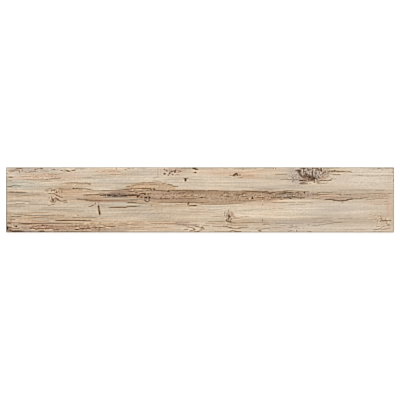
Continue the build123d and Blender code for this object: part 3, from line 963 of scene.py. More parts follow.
# The big knot that the far edge cuts through
BIG_KNOT = (
    line("brown", 3.2, 0.62, (842, 37.6), (886, 37.4)),
    line("brown", 3.2, 0.68, (862, 37.6), (901, 38.2)),
    line("cream", 3.0, 0.55, (850, 41), (875, 41)),
    line("cream", 2.6, 0.4, (865, 34.5), (875, 34)),
    Flecks("mauve", 0.6, 0.36, 882, 28, 22, 26),
    Flecks("milk", 0.45, 0.26, 880, 28, 22, 26),
    Spot("mauve", 0.5, 936, 15, 34, 17),
    Spot("lilac", 0.45, 938, 15, 30, 14),
    Spot("mauve", 0.5, 978, 22, 13, 13),
    Spot("mauve", 0.6, 932, 35, 30, 10),
    Spot("blush", 0.45, 972, 30, 12, 7),
    Spot("lilac", 0.6, 952, 20, 9, 8),
    Flecks("bark", 0.75, 0.48, 936, 20, 42, 24),
    Flecks("mauve", 0.7, 0.42, 938, 32, 40, 20),
    Flecks("milk", 0.55, 0.26, 940, 18, 42, 20),
    line("bark", 4.4, 0.75, (888, 10.4), (897, 9.6)),
    Spot("bark", 0.86, 899.5, 12, 6, 5.6),
    line("bark", 6.2, 0.72, (898, 16), (903.5, 24)),
    line("bark", 6.0, 0.85, (903, 22), (906, 28), (914, 29.5)),
    line("bark", 4.0, 0.75, (903, 4), (911, 3)),
    line("bark", 4.6, 0.9, (911, 3), (919, 3.4)),
    line("bark", 4.4, 0.85, (913, 6), (912, 13)),
    Spot("milk", 0.85, 908.8, 9.5, 2.2, 3.6),
    Spot("bark", 0.3, 912, 18.6, 3.4, 3),
    line("bark", 4.0, 0.55, (917, 14), (919, 20), (916, 26)),
    line("bark", 6.0, 0.72, (919, 23), (932, 26)),
    Spot("bark", 0.55, 914, 25, 3, 3),
    line("bark", 4.6, 0.75, (924, 3), (930, 8), (937, 6)),
    Spot("mist", 0.6, 921, 7, 2.6, 3),
    Spot("milk", 0.5, 928, 18, 3, 3),
    Spot("milk", 0.5, 935, 13, 2.6, 5),
    Spot("mauve", 0.6, 917, 32, 6, 3),
    line("bark", 4.6, 0.46, (917, 28), (929, 31)),
    line("oxblood", 4.0, 0.45, (913, 33), (925, 35.5)),
    line("bark", 9.6, 0.92, (925, 29), (938, 32), (952, 33.5)),
    line("bark", 6.0, 0.8, (932, 36), (940, 39), (946, 36)),
    Spot("charcoal", 0.45, 931, 31, 4.5, 3.4),
    Spot("charcoal", 0.45, 944, 33, 6, 3),
    Spot("charcoal", 0.9, 928, 38, 2.6, 2.4),
    line("bark", 4.4, 0.85, (945, 3), (957, 3.4)),
    line("bark", 5.6, 0.9, (956, 6.4), (964, 8.4)),
    line("charcoal", 4.8, 0.95, (966, 1), (967.5, 11)),
    Spot("cream", 0.8, 946, 8, 3, 3),
    Spot("milk", 0.66, 970.8, 5, 1.6, 4.4),
    Spot("glint", 0.75, 966, 16.2, 3.0, 3.0),
    Spot("lilac", 0.5, 960, 18, 6, 5),
    Spot("grey", 0.5, 950, 17, 4, 6),
    Flecks("bark", 0.52, 0.42, 976, 21, 20, 18),
    Flecks("milk", 0.42, 0.22, 985, 17, 18, 14),
    line("bark", 4.0, 0.7, (956, 27), (962, 34)),
    Spot("rust", 0.26, 972, 32, 9, 4.6),
    Spot("charcoal", 1.0, 940.5, 0.8, 2.7, 4.6),
    line("soot", 3.6, 0.86, (940, 10.5), (940.2, 19)),
    line("soot", 4.0, 0.88, (940.2, 17.5), (940, 29)),
    Spot("umber", 0.65, 932, 42.5, 3, 2),
    line("umber", 3.4, 0.65, (946, 38), (947, 47)),
    line("umber", 3.2, 0.6, (953, 37), (956, 47)),
    line("brown", 3.0, 0.5, (959, 38), (960, 47)),
    Flecks("bark", 0.5, 0.3, 935, 42, 32, 7),
    Spot("cream", 0.55, 950, 39, 2, 4),
    line("glint", 3.4, 0.72, (926, 47.5), (934, 45.5), (941, 46)),
    line("cream", 3.8, 0.75, (938, 50), (951, 50)),
    line("charcoal", 4.4, 1.0, (900, 40.8), (910, 40.6), (921, 40.8)),
    line("bark", 6.4, 0.52, (901, 49.8), (908, 48.8), (915, 45.8)),
    Spot("bark", 0.34, 914, 49.6, 12, 4),
    Flecks("bark", 0.55, 0.42, 914, 49, 16, 6),
    Spot("drift", 0.7, 906, 62, 5, 2.5),
    line("umber", 3.4, 0.8, (961, 40.8), (975, 40.5), (985, 40.8)),
    line("umber", 3.4, 0.75, (987, 41), (998, 40)),
    line("brown", 3.2, 0.65, (996, 38), (1002, 34)),
    line("glint", 3.4, 0.55, (965, 44.8), (983, 44.6)),
    line("glint", 3.2, 0.45, (988, 43.8), (1007, 44.2)),
    line("brown", 4.2, 0.58, (955, 49.4), (984, 48.6)),
    line("cream", 3.2, 0.5, (950, 62), (963, 62)),
    Spot("glint", 0.65, 1010, 31, 2.4, 2),
    Spot("brown", 0.55, 1010, 34.8, 2.4, 1.6),
    line("olive", 4.0, 0.62, (988, 13), (1001, 11)),
    line("cream", 3.6, 0.75, (994, 7.8), (1025, 8)),
    line("cream", 3.2, 0.65, (1035, 9.3), (1055, 9.3)),
    line("glint", 3.8, 0.65, (1004, 19), (1023, 19)),
    line("glint", 3.4, 0.5, (1023, 17.3), (1035, 17)),
    line("umber", 4.2, 0.76, (999, 13), (1008, 12.5), (1023, 13)),
    line("umber", 3.4, 0.7, (1023, 13), (1034, 13)),
    line("olive", 3.6, 0.7, (1033, 13), (1050, 13), (1059, 15)),
    Spot("umber", 0.65, 1008, 10, 2.4, 2.4),
    line("olive", 3.2, 0.6, (1001, 22.6), (1025, 22.2)),
    Spot("cream", 0.75, 1056, 19, 3, 1.6),
    Spot("cream", 0.5, 1000, 26, 6, 2),
)

# Right end: calm pale wood, and a knot with fanned grain in the near corner
RIGHT_END = (
    line("brown", 3.2, 0.5, (1081, 25), (1093, 25.5)),
    line("drift", 3.4, 0.7, (1060, 25), (1135, 25.5)),
    line("mauve", 3.4, 0.42, (1133, 25.5), (1161, 25)),
    line("mauve", 3.2, 0.5, (1163, 25.5), (1173, 25)),
    line("mauve", 3.2, 0.5, (1173, 25.5), (1189, 25)),
    Spot("cream", 0.5, 1168, 13, 5, 4),
    Spot("cream", 0.5, 1179, 10, 3, 3),
    Spot("grey", 0.5, 1186, 15, 3, 3),
    line("brown", 3.0, 0.36, (1159, 105), (1173, 105)),
    line("rust", 3.4, 0.32, (1129, 114), (1153, 114)),
    line("brown", 3.2, 0.38, (1159, 114), (1181, 113)),
    line("grey", 4.0, 0.36, (938, 158), (965, 156.5), (1002, 155)),
    line("grey", 3.6, 0.45, (973, 163.5), (990, 163), (1002, 165)),
    line("grey", 3.2, 0.32, (938, 170), (977, 169)),
    line("grey", 3.6, 0.52, (938, 179.5), (965, 177), (982, 175)),
    line("brown", 3.2, 0.55, (982, 173.5), (1002, 172)),
    line("brown", 3.2, 0.45, (1002, 170), (1016, 169), (1030, 169.5)),
    line("mauve", 4.0, 0.38, (1018, 157), (1062, 156)),
    line("drift", 3.4, 0.75, (1034, 191), (1107, 191)),
    line("blush", 3.2, 0.5, (1058, 187.5), (1136, 187.5)),
    line("cream", 3.0, 0.6, (1109, 142), (1121, 141.5)),
    line("drift", 3.2, 0.8, (1111, 145.5), (1123, 145)),
    line("drift", 3.4, 0.8, (1126, 148.8), (1136, 147)),
    line("cream", 3.2, 0.5, (1137, 147), (1134, 152), (1118, 156), (1109, 158)),
    line("drift", 3.2, 0.8, (1109, 161), (1131, 161)),
    line("brown", 3.0, 0.38, (1140, 148), (1143, 152)),
    line("brown", 3.0, 0.36, (1134, 158), (1140, 163), (1138, 169)),
    Flecks("umber", 0.3, 0.22, 1150, 162, 24, 16),
    Flecks("cream", 0.35, 0.22, 1148, 164, 26, 20),
    Spot("cream", 0.45, 1146, 155, 1.8, 3),
    Spot("cream", 0.5, 1149, 172.5, 2.0, 2.4),
    Spot("cream", 0.75, 1170, 158, 3, 3.4),
    Spot("cream", 0.75, 1172.5, 169, 2.4, 3),
    Spot("umber", 0.4, 1148.5, 165, 2.0, 3.0),
    Spot("umber", 0.3, 1151, 156, 2, 4),
    Spot("umber", 0.28, 1149, 150, 2.4, 2),
    line("olive", 3.8, 0.95, (1153, 163), (1163, 163.2), (1168, 163)),
    line("brown", 3.6, 0.85, (1165, 163), (1177, 163.3)),
    Spot("umber", 0.55, 1179.5, 163, 2.4, 2.2),
    Spot("brown", 0.6, 1173.5, 177.5, 5, 3),
    line("brown", 3.4, 0.55, (1166, 170), (1170, 174)),
    line("cream", 3.2, 0.65, (1139, 179.6), (1149, 177.6)),
    line("olive", 3.0, 0.5, (1137, 182.4), (1147, 181)),
    line("cream", 3.8, 0.8, (1139, 188), (1148, 184), (1155, 180.6)),
    line("brown", 3.2, 0.6, (1141, 190.2), (1151, 187.4)),
    line("brown", 3.0, 0.55, (1150, 184), (1161, 181)),
    line("brown", 3.2, 0.7, (1127, 191), (1136, 190.6), (1143, 191)),
    line("glint", 3.4, 0.75, (1133, 194.2), (1150, 193.8), (1165, 194)),
    line("brown", 3.2, 0.55, (1151, 192), (1165, 190.4)),
    line("rust", 3.2, 0.55, (1163, 188.5), (1179, 186.5)),
    line("peach", 3.4, 0.65, (1159, 184), (1177, 183)),
    Spot("peach", 0.75, 1169, 191, 3, 2),
    line("grey", 3.4, 0.5, (1118, 197.4), (1162, 197.4)),
    Spot("charcoal", 1.0, 1189.2, 41, 2.8, 3.6),
    Spot("umber", 0.6, 1188, 26, 2, 2.6),
    Spot("umber", 0.5, 1188, 4, 2, 4),
)

# Painted shade: a dark line along all four edges of the print, standing in for the shade on the ground edge
# round the face
PAINTED_EDGE_SHADE = (
    line("slate", 4.2, 0.74, (-9, 0.4), (600, 0.4), (1199, 0.4)),
    line("grey", 4.4, 0.62, (-9, 199.0), (600, 199.0), (1199, 199.0)),
    line("slate", 4.4, 0.9, (0.4, -9), (0.4, 100), (0.4, 209)),
    line("bark", 4.0, 0.8, (0.6, 20), (0.6, 110), (0.6, 209)),
    line("slate", 4.2, 0.75, (1189.2, -9), (1189.2, 100), (1189.2, 209)),
)

# All the marks over the grain, in the order that they are laid
MARKS = (
    *PAINTED_EDGE_SHADE, *LEFT_END, *FAR_EDGE, *BEETLE_HOLES, *SWIRL, *LOBE, *HEART_MARKS, *SHAKE, *LOWER_LEFT,
    *BELOW_HEART, *MIDDLE_KNOTS, *BIG_KNOT, *RIGHT_END,
)

# Knots that the grain is led round
GRAIN_KNOTS = (
    Knot(146, 99, 26, 16, 6),
    Knot(433, 98, 18, 14, 4),
    Knot(684, 150, 30, 26, 9),
    Knot(704, 23, 18, 10, 3),
    Knot(936, 14, 44, 30, 10),
    Knot(1160, 162, 40, 26, 8),
)

# The grain that tones the whole print, from broad growth rings to single specks
GRAINS = (
    Grain(260.0, 12.0, 0.035, 5.1),
    Grain(170.0, 5.0, 0.060, 2.3),
    Grain(90.0, 3.2, 0.075, 9.4),
    Grain(8.0, 3.0, 0.034, 6.6),
    Grain(3.6, 12.0, 0.026, 4.2),
)
WARMTH = Grain(80.0, 5.0, 0.020, 1.7)
TO_WARM = (1.0, 0.0, -1.0)  # more red and less blue
GROWTH_LINES = Grain(380.0, 17.0, 0.10, 7.9)
GROWTH_LINE_WIDTH = 0.05  # as a share of the rings' noise
KNOT_TURN = 3.0  # how sharply the grain parts at a knot
# Strength of the grain along the plank
GRAIN_FADE = ((0, 1.2), (350, 1.0), (650, 0.9), (950, 0.58), (1190, 0.48))

# How the marks are laid on, in millimetres
CURVE_STEPS = 6  # points on each span of a curve
RING_STEPS = 36  # points round a ring
WAVER = Grain(24.0, 7.0, 0.8, 3.7)  # how far a line wanders across the grain
FLECK_GRAIN = Grain(6.0, 2.4, 1.6, 8.3)
FLECK = 0.68  # how much the flecks break a line
HEART_FLECK = 0.08  # how much the flecks tone the heart
SPECK_GRAIN = Grain(3.6, 2.8, 1.0, 0.37)  # each mark adds its number to the seed
SPECK_EDGE = 0.10  # softness of a speck's edge, as a share of all specks
BAND_FADE = 0.1  # share of a band that fades at each end
TAPER = 0.14  # share of a line that fades at each end
STREAK_SPREAD = 0.50  # a line's soft edge, as a share of its width
REACH = 2.6  # how many spreads a mark is painted out to
DARK_INKS = ("charcoal", "umber", "oxblood", "olive")
STAIN_REACH = 1.1  # how far the stain of a dark mark runs out past it
STAIN = 0.32  # strength of the stain, as a share of its mark's
SHARPNESS = 1.1  # how much the finished print is sharpened
SHARP_REACH = 2  # cells of the face that the sharpening looks over
SHARP_FLOOR = 0.1  # light under which the sharpening grows no stronger
SHARP_LIMITS = (0.66, 1.36)  # least and most gain


# Settings that a user would change

def display(red, green, blue):
    """A colour from display values of 0 to 255, as shares of one."""
    return (red / 255, green / 255, blue / 255)


def ink(name, description, colour):
    """A colour property in display values."""
    return FloatVectorProperty(
        name=name, description=description, default=colour, size=3, min=0.0, max=1.0, subtype="COLOR_GAMMA"
    )


def measure(name, description, default):
    """A length property, in metres."""
    return FloatProperty(name=name, description=description, default=default, unit="LENGTH", precision=5)


class PlankSizes(PropertyGroup):
    """Sizes of the plank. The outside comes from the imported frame."""

    length: measure("Length", "Along the plank", HIGH.x - LOW.x)
    width: measure("Width", "Across the plank", HIGH.y - LOW.y)
    thickness: measure("Thickness", "From the feet of the ribs to the face", HIGH.z - LOW.z)
    arris: measure("Arris", "Small bevel ground round the face", 0.001)
    key_margin: measure("Key margin", "Plain band round the pockets of the back", 0.009)
    key_pitch: measure("Key pitch", "Spacing of the ribs that the pockets come nearest to", 0.0265)
    key_rib: measure("Key rib", "Width of a rib at its foot", 0.004)
    key_depth: measure("Key depth", "Depth of the pockets of the back", 0.0007)
    key_draft: FloatProperty(
        name="Key draft", description="Lean of the pocket walls from upright", default=math.radians(35),
        subtype="ANGLE",
    )
    relief: measure("Relief", "Depth of the deepest mark pressed into the face", 0.0004)
    face_cuts: IntProperty(
        name="Face cuts", description="Cuts across each cell of the face, for the relief", default=16, min=1
    )


class PrintInks(PropertyGroup):
    """Colours of the printed face."""

    ground: ink("Ground", "The pale board under the figure", display(214, 196, 173))
    charcoal: ink("Charcoal", "Shakes, holes and the hearts of knots", display(38, 16, 0))
    soot: ink("Soot", "The cold black of the shake", display(40, 32, 24))
    bark: ink("Bark", "The dull dark of the big knot", display(88, 64, 46))
    umber: ink("Umber", "Dark growth lines and cracks", display(90, 60, 34))
    oxblood: ink("Oxblood", "Reddish dark specks and lines", display(100, 62, 44))
    olive: ink("Olive", "Greenish dark lines", display(102, 76, 38))
    stain: ink("Stain", "Warm stain round the dark marks", display(172, 122, 78))
    brown: ink("Brown", "Growth lines", display(140, 110, 80))
    heart: ink("Heart", "The brown heart of the board", display(184, 153, 125))
    rust: ink("Rust", "Reddish streaks", display(166, 120, 92))
    mauve: ink("Mauve", "Dull purple streaks", display(158, 130, 114))
    gold: ink("Gold", "Resin-coloured streaks", display(188, 150, 106))
    tan: ink("Tan", "Warm areas of the board", display(196, 162, 126))
    # Grey and slate also lay the painted edge shade round the print, besides their weathered streaks
    grey: ink("Grey", "Weathered streaks", display(140, 128, 112))
    slate: ink("Slate", "Cold weathered streaks by the edges", display(112, 110, 98))
    drift: ink("Drift", "Dull weathered areas", display(190, 170, 148))
    milk: ink("Milk", "The palest calm wood", display(232, 217, 199))
    lilac: ink("Lilac", "Cool weathered areas", display(190, 174, 162))
    sage: ink("Sage", "Greenish weathered areas", display(196, 186, 162))
    mist: ink("Mist", "Pale cold areas", display(198, 194, 178))
    blush: ink("Blush", "Pinkish areas", display(219, 185, 165))
    peach: ink("Peach", "Light warm areas", display(228, 193, 161))
    glint: ink("Glint", "Torn fibres that catch the light", display(255, 232, 205))
    cream: ink("Cream", "The lightest wood", display(242, 220, 189))


class BodyColours(PropertyGroup):
    """Colours of the fired body under the print."""

    # Kept darker than the face so that the arris reads as a dark line round it: partly the body's own
    # colour, partly painted shade
    body: ink("Body", "The fired body", display(176, 160, 138))
    speck: ink("Speck", "Dark grains in the body", display(138, 118, 96))
    wash: ink("Wash", "Kiln wash on the feet of the ribs", display(226, 220, 208))


class StudioSettings(PropertyGroup):
    """The plain studio that the plank is shown in."""

    floor: ink("Floor", "The pale floor", display(246, 246, 246))
    floor_glow: FloatProperty(name="Floor glow", description="Light that the floor gives off", default=0.36)
    sky: FloatProperty(name="Sky", description="Strength of the light from all round", default=0.76)
    key_power: FloatProperty(
        name="Key power", description="Power of the large lamp behind the plank", default=20.0, unit="POWER"
    )
    lens: FloatProperty(name="Lens", description="Focal length in millimetres", default=85.0, unit="CAMERA")


# Laying the print on the face

class Canvas(NamedTuple):
    """The face while it is printed: each point's place in millimetres, its colour and its flecks."""

    along: np.ndarray
    across: np.ndarray
    colour: np.ndarray
    fleck: np.ndarray


def noise_over(along, across, grain):
    """Smooth noise from about -1 to 1, stretched to a grain's length and breadth."""
    scaled = zip(along / grain.length, across / grain.breadth)
    return np.array([noise.noise((a, b, grain.seed)) for a, b in scaled])


def smooth_step(value, low, high):
    """A soft step from 0 at low to 1 at high."""
    share = np.clip((value - low) / (high - low), 0.0, 1.0)
    return share * share * (3.0 - 2.0 * share)


def smooth_line(points):
    """The points of a smooth curve through the given ones."""
    if len(points) < 3:
        return np.array(points, float)
    run = np.array([points[0], *points, points[-1]], float)
    t = np.linspace(0.0, 1.0, CURVE_STEPS, endpoint=False)[:, None]
    spans = []
    for a, b, c, d in zip(run, run[1:], run[2:], run[3:]):
        spans.append(b + 0.5 * t * (c - a + t * (2 * a - 5 * b + 4 * c - d + t * (3 * (b - c) + d - a))))
    return np.vstack([*spans, run[-1]])


def nearest_on(curve, along, across):
    """Distance of each point from a curve, and its nearest place as a share of the curve's length."""
    runs = np.diff(curve, axis=0)
    lengths = np.hypot(runs[:, 0], runs[:, 1])
    passed = np.concatenate(([0.0], np.cumsum(lengths)))
    best = np.full(along.shape, np.inf)
    place = np.zeros(along.shape)
    for start, run, size, before in zip(curve, runs, lengths, passed):
        from_along = along - start[0]
        from_across = across - start[1]
        share = np.clip((from_along * run[0] + from_across * run[1]) / size**2, 0.0, 1.0)
        gap = np.hypot(from_along - share * run[0], from_across - share * run[1])
        closer = gap < best
        best[closer] = gap[closer]
        place[closer] = before + share[closer] * size
    return best, place / passed[-1]


def out_from(oval, along, across):
    """Distance of each point from an oval's middle, which is 1 at its rim."""
    return np.hypot((along - oval.along) / oval.half_along, (across - oval.across) / oval.half_across)


def colour_of(mark, inks):
    """The colour of a mark's ink."""
    return np.array(getattr(inks, mark.ink))


def lay_ink(canvas, where, cover, colour):
    """Blends a colour over the chosen points."""
    canvas.colour[where] += cover[:, None] * (colour - canvas.colour[where])


def points_within(canvas, low, high, margin):
    """The canvas points inside a box that is widened by a margin."""
    inside = (canvas.along > low[0] - margin) & (canvas.along < high[0] + margin)
    inside &= (canvas.across > low[1] - margin) & (canvas.across < high[1] + margin)
    return np.flatnonzero(inside)


def lay_line(canvas, mark, curve, colour, taper):
    """Lays one soft line, broken by the flecks and faded at its ends."""
    spread = STREAK_SPREAD * mark.width
    where = points_within(canvas, curve.min(axis=0), curve.max(axis=0), REACH * spread)
    gap, place = nearest_on(curve, canvas.along[where], canvas.across[where])
    cover = mark.strength * np.exp(-((gap / spread) ** 2))
    if taper:
        cover *= smooth_step(np.minimum(place, 1.0 - place), -TAPER, TAPER)
    cover *= 1.0 - FLECK * np.clip(canvas.fleck[where], 0.0, 1.0)
    lay_ink(canvas, where, cover, colour)


def lay_spot(canvas, spot, colour):
    """Lays one soft oval."""
    middle = np.array((spot.along, spot.across))
    half = np.array((spot.half_along, spot.half_across))
    where = points_within(canvas, middle - REACH * half, middle + REACH * half, 0.0)
    out = out_from(spot, canvas.along[where], canvas.across[where])
    lay_ink(canvas, where, spot.strength * np.exp(-(out**4)), colour)


def lay_areas(canvas, areas, inks):
    """Lays wide ovals that fade slowly and are streaked by the flecks."""
    for area in areas:
        out = out_from(area, canvas.along, canvas.across)
        where = np.flatnonzero(out < REACH)
        cover = area.strength * np.exp(-(out[where] ** 2)) * (1.0 + FLECK * canvas.fleck[where])
        lay_ink(canvas, where, np.clip(cover, 0.0, 1.0), colour_of(area, inks))


def lay_band(canvas, band, colour):
    """Lays the area between two lines, faded at both ends."""
    far = np.array(band.far_line, float)
    near = np.array(band.near_line, float)
    first, last = far[0, 0], far[-1, 0]
    fade = BAND_FADE * (last - first)
    cover = smooth_step(canvas.along, first, first + fade) * smooth_step(-canvas.along, -last, fade - last)
    far_edge = np.interp(canvas.along, far[:, 0], far[:, 1])
    near_edge = np.interp(canvas.along, near[:, 0], near[:, 1])
    cover *= smooth_step(canvas.across - far_edge, -band.softness, band.softness)
    cover *= smooth_step(near_edge - canvas.across, -band.softness, band.softness)
    where = np.flatnonzero(cover > 0.0)
    flecked = colour + HEART_FLECK * canvas.fleck[where][:, None]
    lay_ink(canvas, where, band.strength * cover[where], flecked)


def lay_flecks(canvas, flecks, colour, number):
    """Lays specks where a fine noise is highest, fewer towards the rim of the oval."""
    out = out_from(flecks, canvas.along, canvas.across)
    where = np.flatnonzero(out < REACH)
    grain = SPECK_GRAIN._replace(seed=SPECK_GRAIN.seed + number)
    height = noise_over(canvas.along[where], canvas.across[where], grain)
    rank = np.argsort(np.argsort(height)) / len(where)
    floor = 1.0 - flecks.share * np.exp(-(out[where] ** 2))
    cover = flecks.strength * smooth_step(rank, floor - SPECK_EDGE * flecks.share, floor + SPECK_EDGE)
    lay_ink(canvas, where, cover * np.exp(-(out[where] ** 4)), colour)


def ring_line(ring):
    """The closed line of a ring."""
    turn = np.linspace(0.0, 2.0 * math.pi, RING_STEPS)
    along = ring.along + ring.half_along * np.cos(turn)
    across = ring.across + ring.half_across * np.sin(turn)
    return np.stack((along, across), axis=1)


def stain_of(mark):
    """The stain round a dark mark, as a weaker and wider mark."""
    weaker = mark._replace(ink="stain", strength=STAIN * mark.strength)
    if isinstance(mark, Spot):
        half_along = mark.half_along + STAIN_REACH
        half_across = mark.half_across + STAIN_REACH
        return weaker._replace(half_along=half_along, half_across=half_across)
    return weaker._replace(width=mark.width + 2 * STAIN_REACH)


def lay_mark(canvas, mark, inks, number):
    """Lays one mark by its kind. Its number seeds the flecks."""
    colour = colour_of(mark, inks)
    if isinstance(mark, Streak):
        lay_line(canvas, mark, smooth_line(mark.points), colour, taper=True)
    elif isinstance(mark, Ring):
        lay_line(canvas, mark, ring_line(mark), colour, taper=False)
    elif isinstance(mark, Band):
        lay_band(canvas, mark, colour)
    elif isinstance(mark, Flecks):
        lay_flecks(canvas, mark, colour, number)
    else:
        lay_spot(canvas, mark, colour)


def lay_marks(canvas, marks, inks):
    """Lays a list of marks in order, the dark ones on a stain."""
    for number, mark in enumerate(marks):
        if mark.ink in DARK_INKS and not isinstance(mark, Flecks):
            lay_mark(canvas, stain_of(mark), inks, number)
        lay_mark(canvas, mark, inks, number)


def grain_flow(along, across):
    """Where each point lies across the grain, once the grain is led round the knots."""
    flow = across.copy()
    for knot in GRAIN_KNOTS:
        beside = (along - knot.along) / knot.reach_along
        over = (across - knot.across) / knot.reach_across
        flow -= knot.push * np.tanh(KNOT_TURN * over) * np.exp(-(beside**2) - over**2)
    return flow


def linear(colour):
    """Display values turned into the linear ones that materials use, by the sRGB curve."""
    return np.where(colour <= 0.04045, colour / 12.92, ((colour + 0.055) / 1.055) ** 2.4)


def add_grain(canvas, flow, inks):
    """Tones the print with the grain, warms and cools it, and draws the growth lines."""
    tone = np.zeros(len(flow))
    for grain in GRAINS:
        tone += grain.strength * noise_over(canvas.along, flow, grain)
    fade = np.interp(canvas.along, *np.transpose(GRAIN_FADE))
    canvas.colour[:] *= 1.0 + (fade * tone)[:, None]
    warm = WARMTH.strength * noise_over(canvas.along, flow, WARMTH)
    canvas.colour[:] += (fade * warm)[:, None] * np.array(TO_WARM)
    rings = noise_over(canvas.along, flow, GROWTH_LINES)
    cover = fade * GROWTH_LINES.strength * np.exp(-((rings / GROWTH_LINE_WIDTH) ** 2))
    lay_ink(canvas, np.arange(len(flow)), cover, np.array(inks.brown))


def box_blur(grid, reach):
    """The mean of each cell's square of neighbours."""
    rows, columns = grid.shape[:2]
    padded = np.pad(grid, ((reach, reach), (reach, reach), (0, 0)), mode="edge")
    offsets = range(2 * reach + 1)
    total = sum(padded[r:r + rows, c:c + columns] for r in offsets for c in offsets)
    return total / len(offsets) ** 2


def sharpen(grid):
    """Lifts or darkens each cell against its neighbours, without a change of hue."""
    light = grid.mean(axis=2, keepdims=True)
    gain = 1.0 + SHARPNESS * (light - box_blur(light, SHARP_REACH)) / np.maximum(light, SHARP_FLOOR)
    gain = np.clip(gain, *SHARP_LIMITS)
    return grid * np.minimum(gain, 1.0 / grid.max(axis=2, keepdims=True))


def print_face(along_cells, across_cells, inks):
    """The printed face as a grid of display colours, and the grain's flow in it, in millimetres.

    The cells are given by their places along and across. Rows run from the far edge to the near one.
    """
    shape = (len(across_cells), len(along_cells))
    along, across = (grid.ravel() for grid in np.meshgrid(along_cells, across_cells))
    waver = WAVER.strength * noise_over(along, across, WAVER)
    fleck = FLECK_GRAIN.strength * noise_over(along, across, FLECK_GRAIN)
    ground = np.tile(np.array(inks.ground), (len(along), 1))
    canvas = Canvas(along, across + waver, ground, fleck)
    flow = grain_flow(along, across)
    lay_areas(canvas, AREAS, inks)
    lay_marks(canvas, HEART, inks)
    lay_areas(canvas, HEART_SHADES, inks)
    add_grain(canvas, flow, inks)
    lay_marks(canvas, MARKS, inks)
    grid = sharpen(canvas.colour.reshape(*shape, 3))
    return np.clip(grid, 0.0, 1.0), flow.reshape(shape)


# Modelling the plank

# How the print is pressed in, and how the sides of the plank are told apart
LIGHT_WEIGHTS = (0.30, 0.59, 0.11)  # of red, green and blue
PRESS_LIGHT = 0.66  # light of the print, past which it isn't pressed
PRESS_RANGE = 0.5  # fall of that light to the deepest press
PRESS_GRAIN = Grain(140.0, 7.0, 0.2, 5.1)  # the run of grain, as a share of the press
SMOOTH_ANGLE = math.radians(40)
FACING_UP = 0.8  # upward part of a normal, past which it is the face's
FACING_OUT = 0.5  # outward part of a normal, past which it is a side's or its arris's

# Where each side of the plank lies on its map, as the low and high edge of a strip
MAP_ENDS = (0.004, 0.996)
MAP_FACE = (0.24, 0.995)
MAP_BACK = (0.075, 0.225)
MAP_SIDES = ((0.004, 0.016), (0.021, 0.033), (0.038, 0.050), (0.055, 0.067))


def deselect_objects():
    """Leaves edit mode and selects nothing."""
    if bpy.context.object and bpy.context.object.mode != "OBJECT":
        bpy.ops.object.mode_set(mode="OBJECT")
    bpy.ops.object.select_all(action="DESELECT")


def read_all(items, name, width=1, kind=float):
    """One value or vector of every item of a mesh."""
    values = np.empty(width * len(items), kind)
    items.foreach_get(name, values)
    return values.reshape(-1, width) if width > 1 else values


def select_open_edges():
    """Selects the open border of the mesh being edited."""
    bpy.ops.mesh.select_all(action="DESELECT")
    bpy.ops.mesh.select_mode(type="EDGE")
    bpy.ops.mesh.select_non_manifold(
        extend=False, use_wire=False, use_boundary=True, use_multi_face=False,
        use_non_contiguous=False, use_verts=False,
    )


def raise_border(rise, size_before, size_after):
    """Extrudes the open border up by a rise and to a new length and width."""
    select_open_edges()
    bpy.ops.mesh.extrude_edges_move(TRANSFORM_OT_translate={"value": (0.0, 0.0, rise)})
    ratio = (size_after[0] / size_before[0], size_after[1] / size_before[1], 1.0)
    bpy.ops.transform.resize(value=ratio, center_override=ORIGIN)


def select_face_side(plank, height):
    """Selects the faces whose middle lies at a height."""
    bpy.ops.mesh.select_all(action="DESELECT")
    bpy.ops.mesh.select_mode(type="FACE")
    bpy.ops.object.mode_set(mode="OBJECT")
    for polygon in plank.data.polygons:
        polygon.select = abs(polygon.center.z - height) < HAIR
    bpy.ops.object.mode_set(mode="EDIT")


def add_cells(counts, size, height, **options):
    """Adds a grid of the given counts of cells, stretched to a length and width, at a height."""
    middle = (0.0, 0.0, height)
    bpy.ops.mesh.primitive_grid_add(
        x_subdivisions=counts[0], y_subdivisions=counts[1], size=1.0, location=middle, **options
    )
    bpy.ops.transform.resize(value=(*size, 1.0), center_override=middle)


def press_plank(sizes):
    """Models the plank from its keyed back up to a finely divided face."""
    outside = (sizes.length, sizes.width)
    face = tuple(size - 2 * sizes.arris for size in outside)
    # The keyed field takes in half a rib all round its pockets
    keyed = tuple(size - 2 * sizes.key_margin + sizes.key_rib for size in outside)
    counts = tuple(max(1, round(size / sizes.key_pitch)) for size in keyed)

    # The back: one cell for each pocket, cut in by half a rib and sunk with its draft
    deselect_objects()
    add_cells(counts, keyed, 0.0, enter_editmode=True)
    plank = bpy.context.object
    plank.name = PIECE
    plank.data.name = PIECE
    bpy.ops.mesh.inset(thickness=sizes.key_rib / 2, depth=0.0, use_individual=True)
    lean = sizes.key_depth * math.tan(sizes.key_draft)
    bpy.ops.mesh.inset(thickness=lean, depth=sizes.key_depth, use_individual=True)

    # The margin, the sides and the arris
    raise_border(0.0, keyed, outside)
    raise_border(sizes.thickness - sizes.arris, outside, outside)
    raise_border(sizes.arris, outside, face)

    # The face, cell by cell over the back, closed onto the arris and divided for the relief
    bpy.ops.mesh.select_all(action="DESELECT")
    add_cells(counts, face, sizes.thickness)
    bpy.ops.mesh.select_all(action="SELECT")
    bpy.ops.mesh.remove_doubles(threshold=HAIR)
    bpy.ops.mesh.normals_make_consistent(inside=False)
    select_face_side(plank, sizes.thickness)
    bpy.ops.mesh.subdivide(number_cuts=sizes.face_cuts)
    bpy.ops.object.mode_set(mode="OBJECT")
    return plank


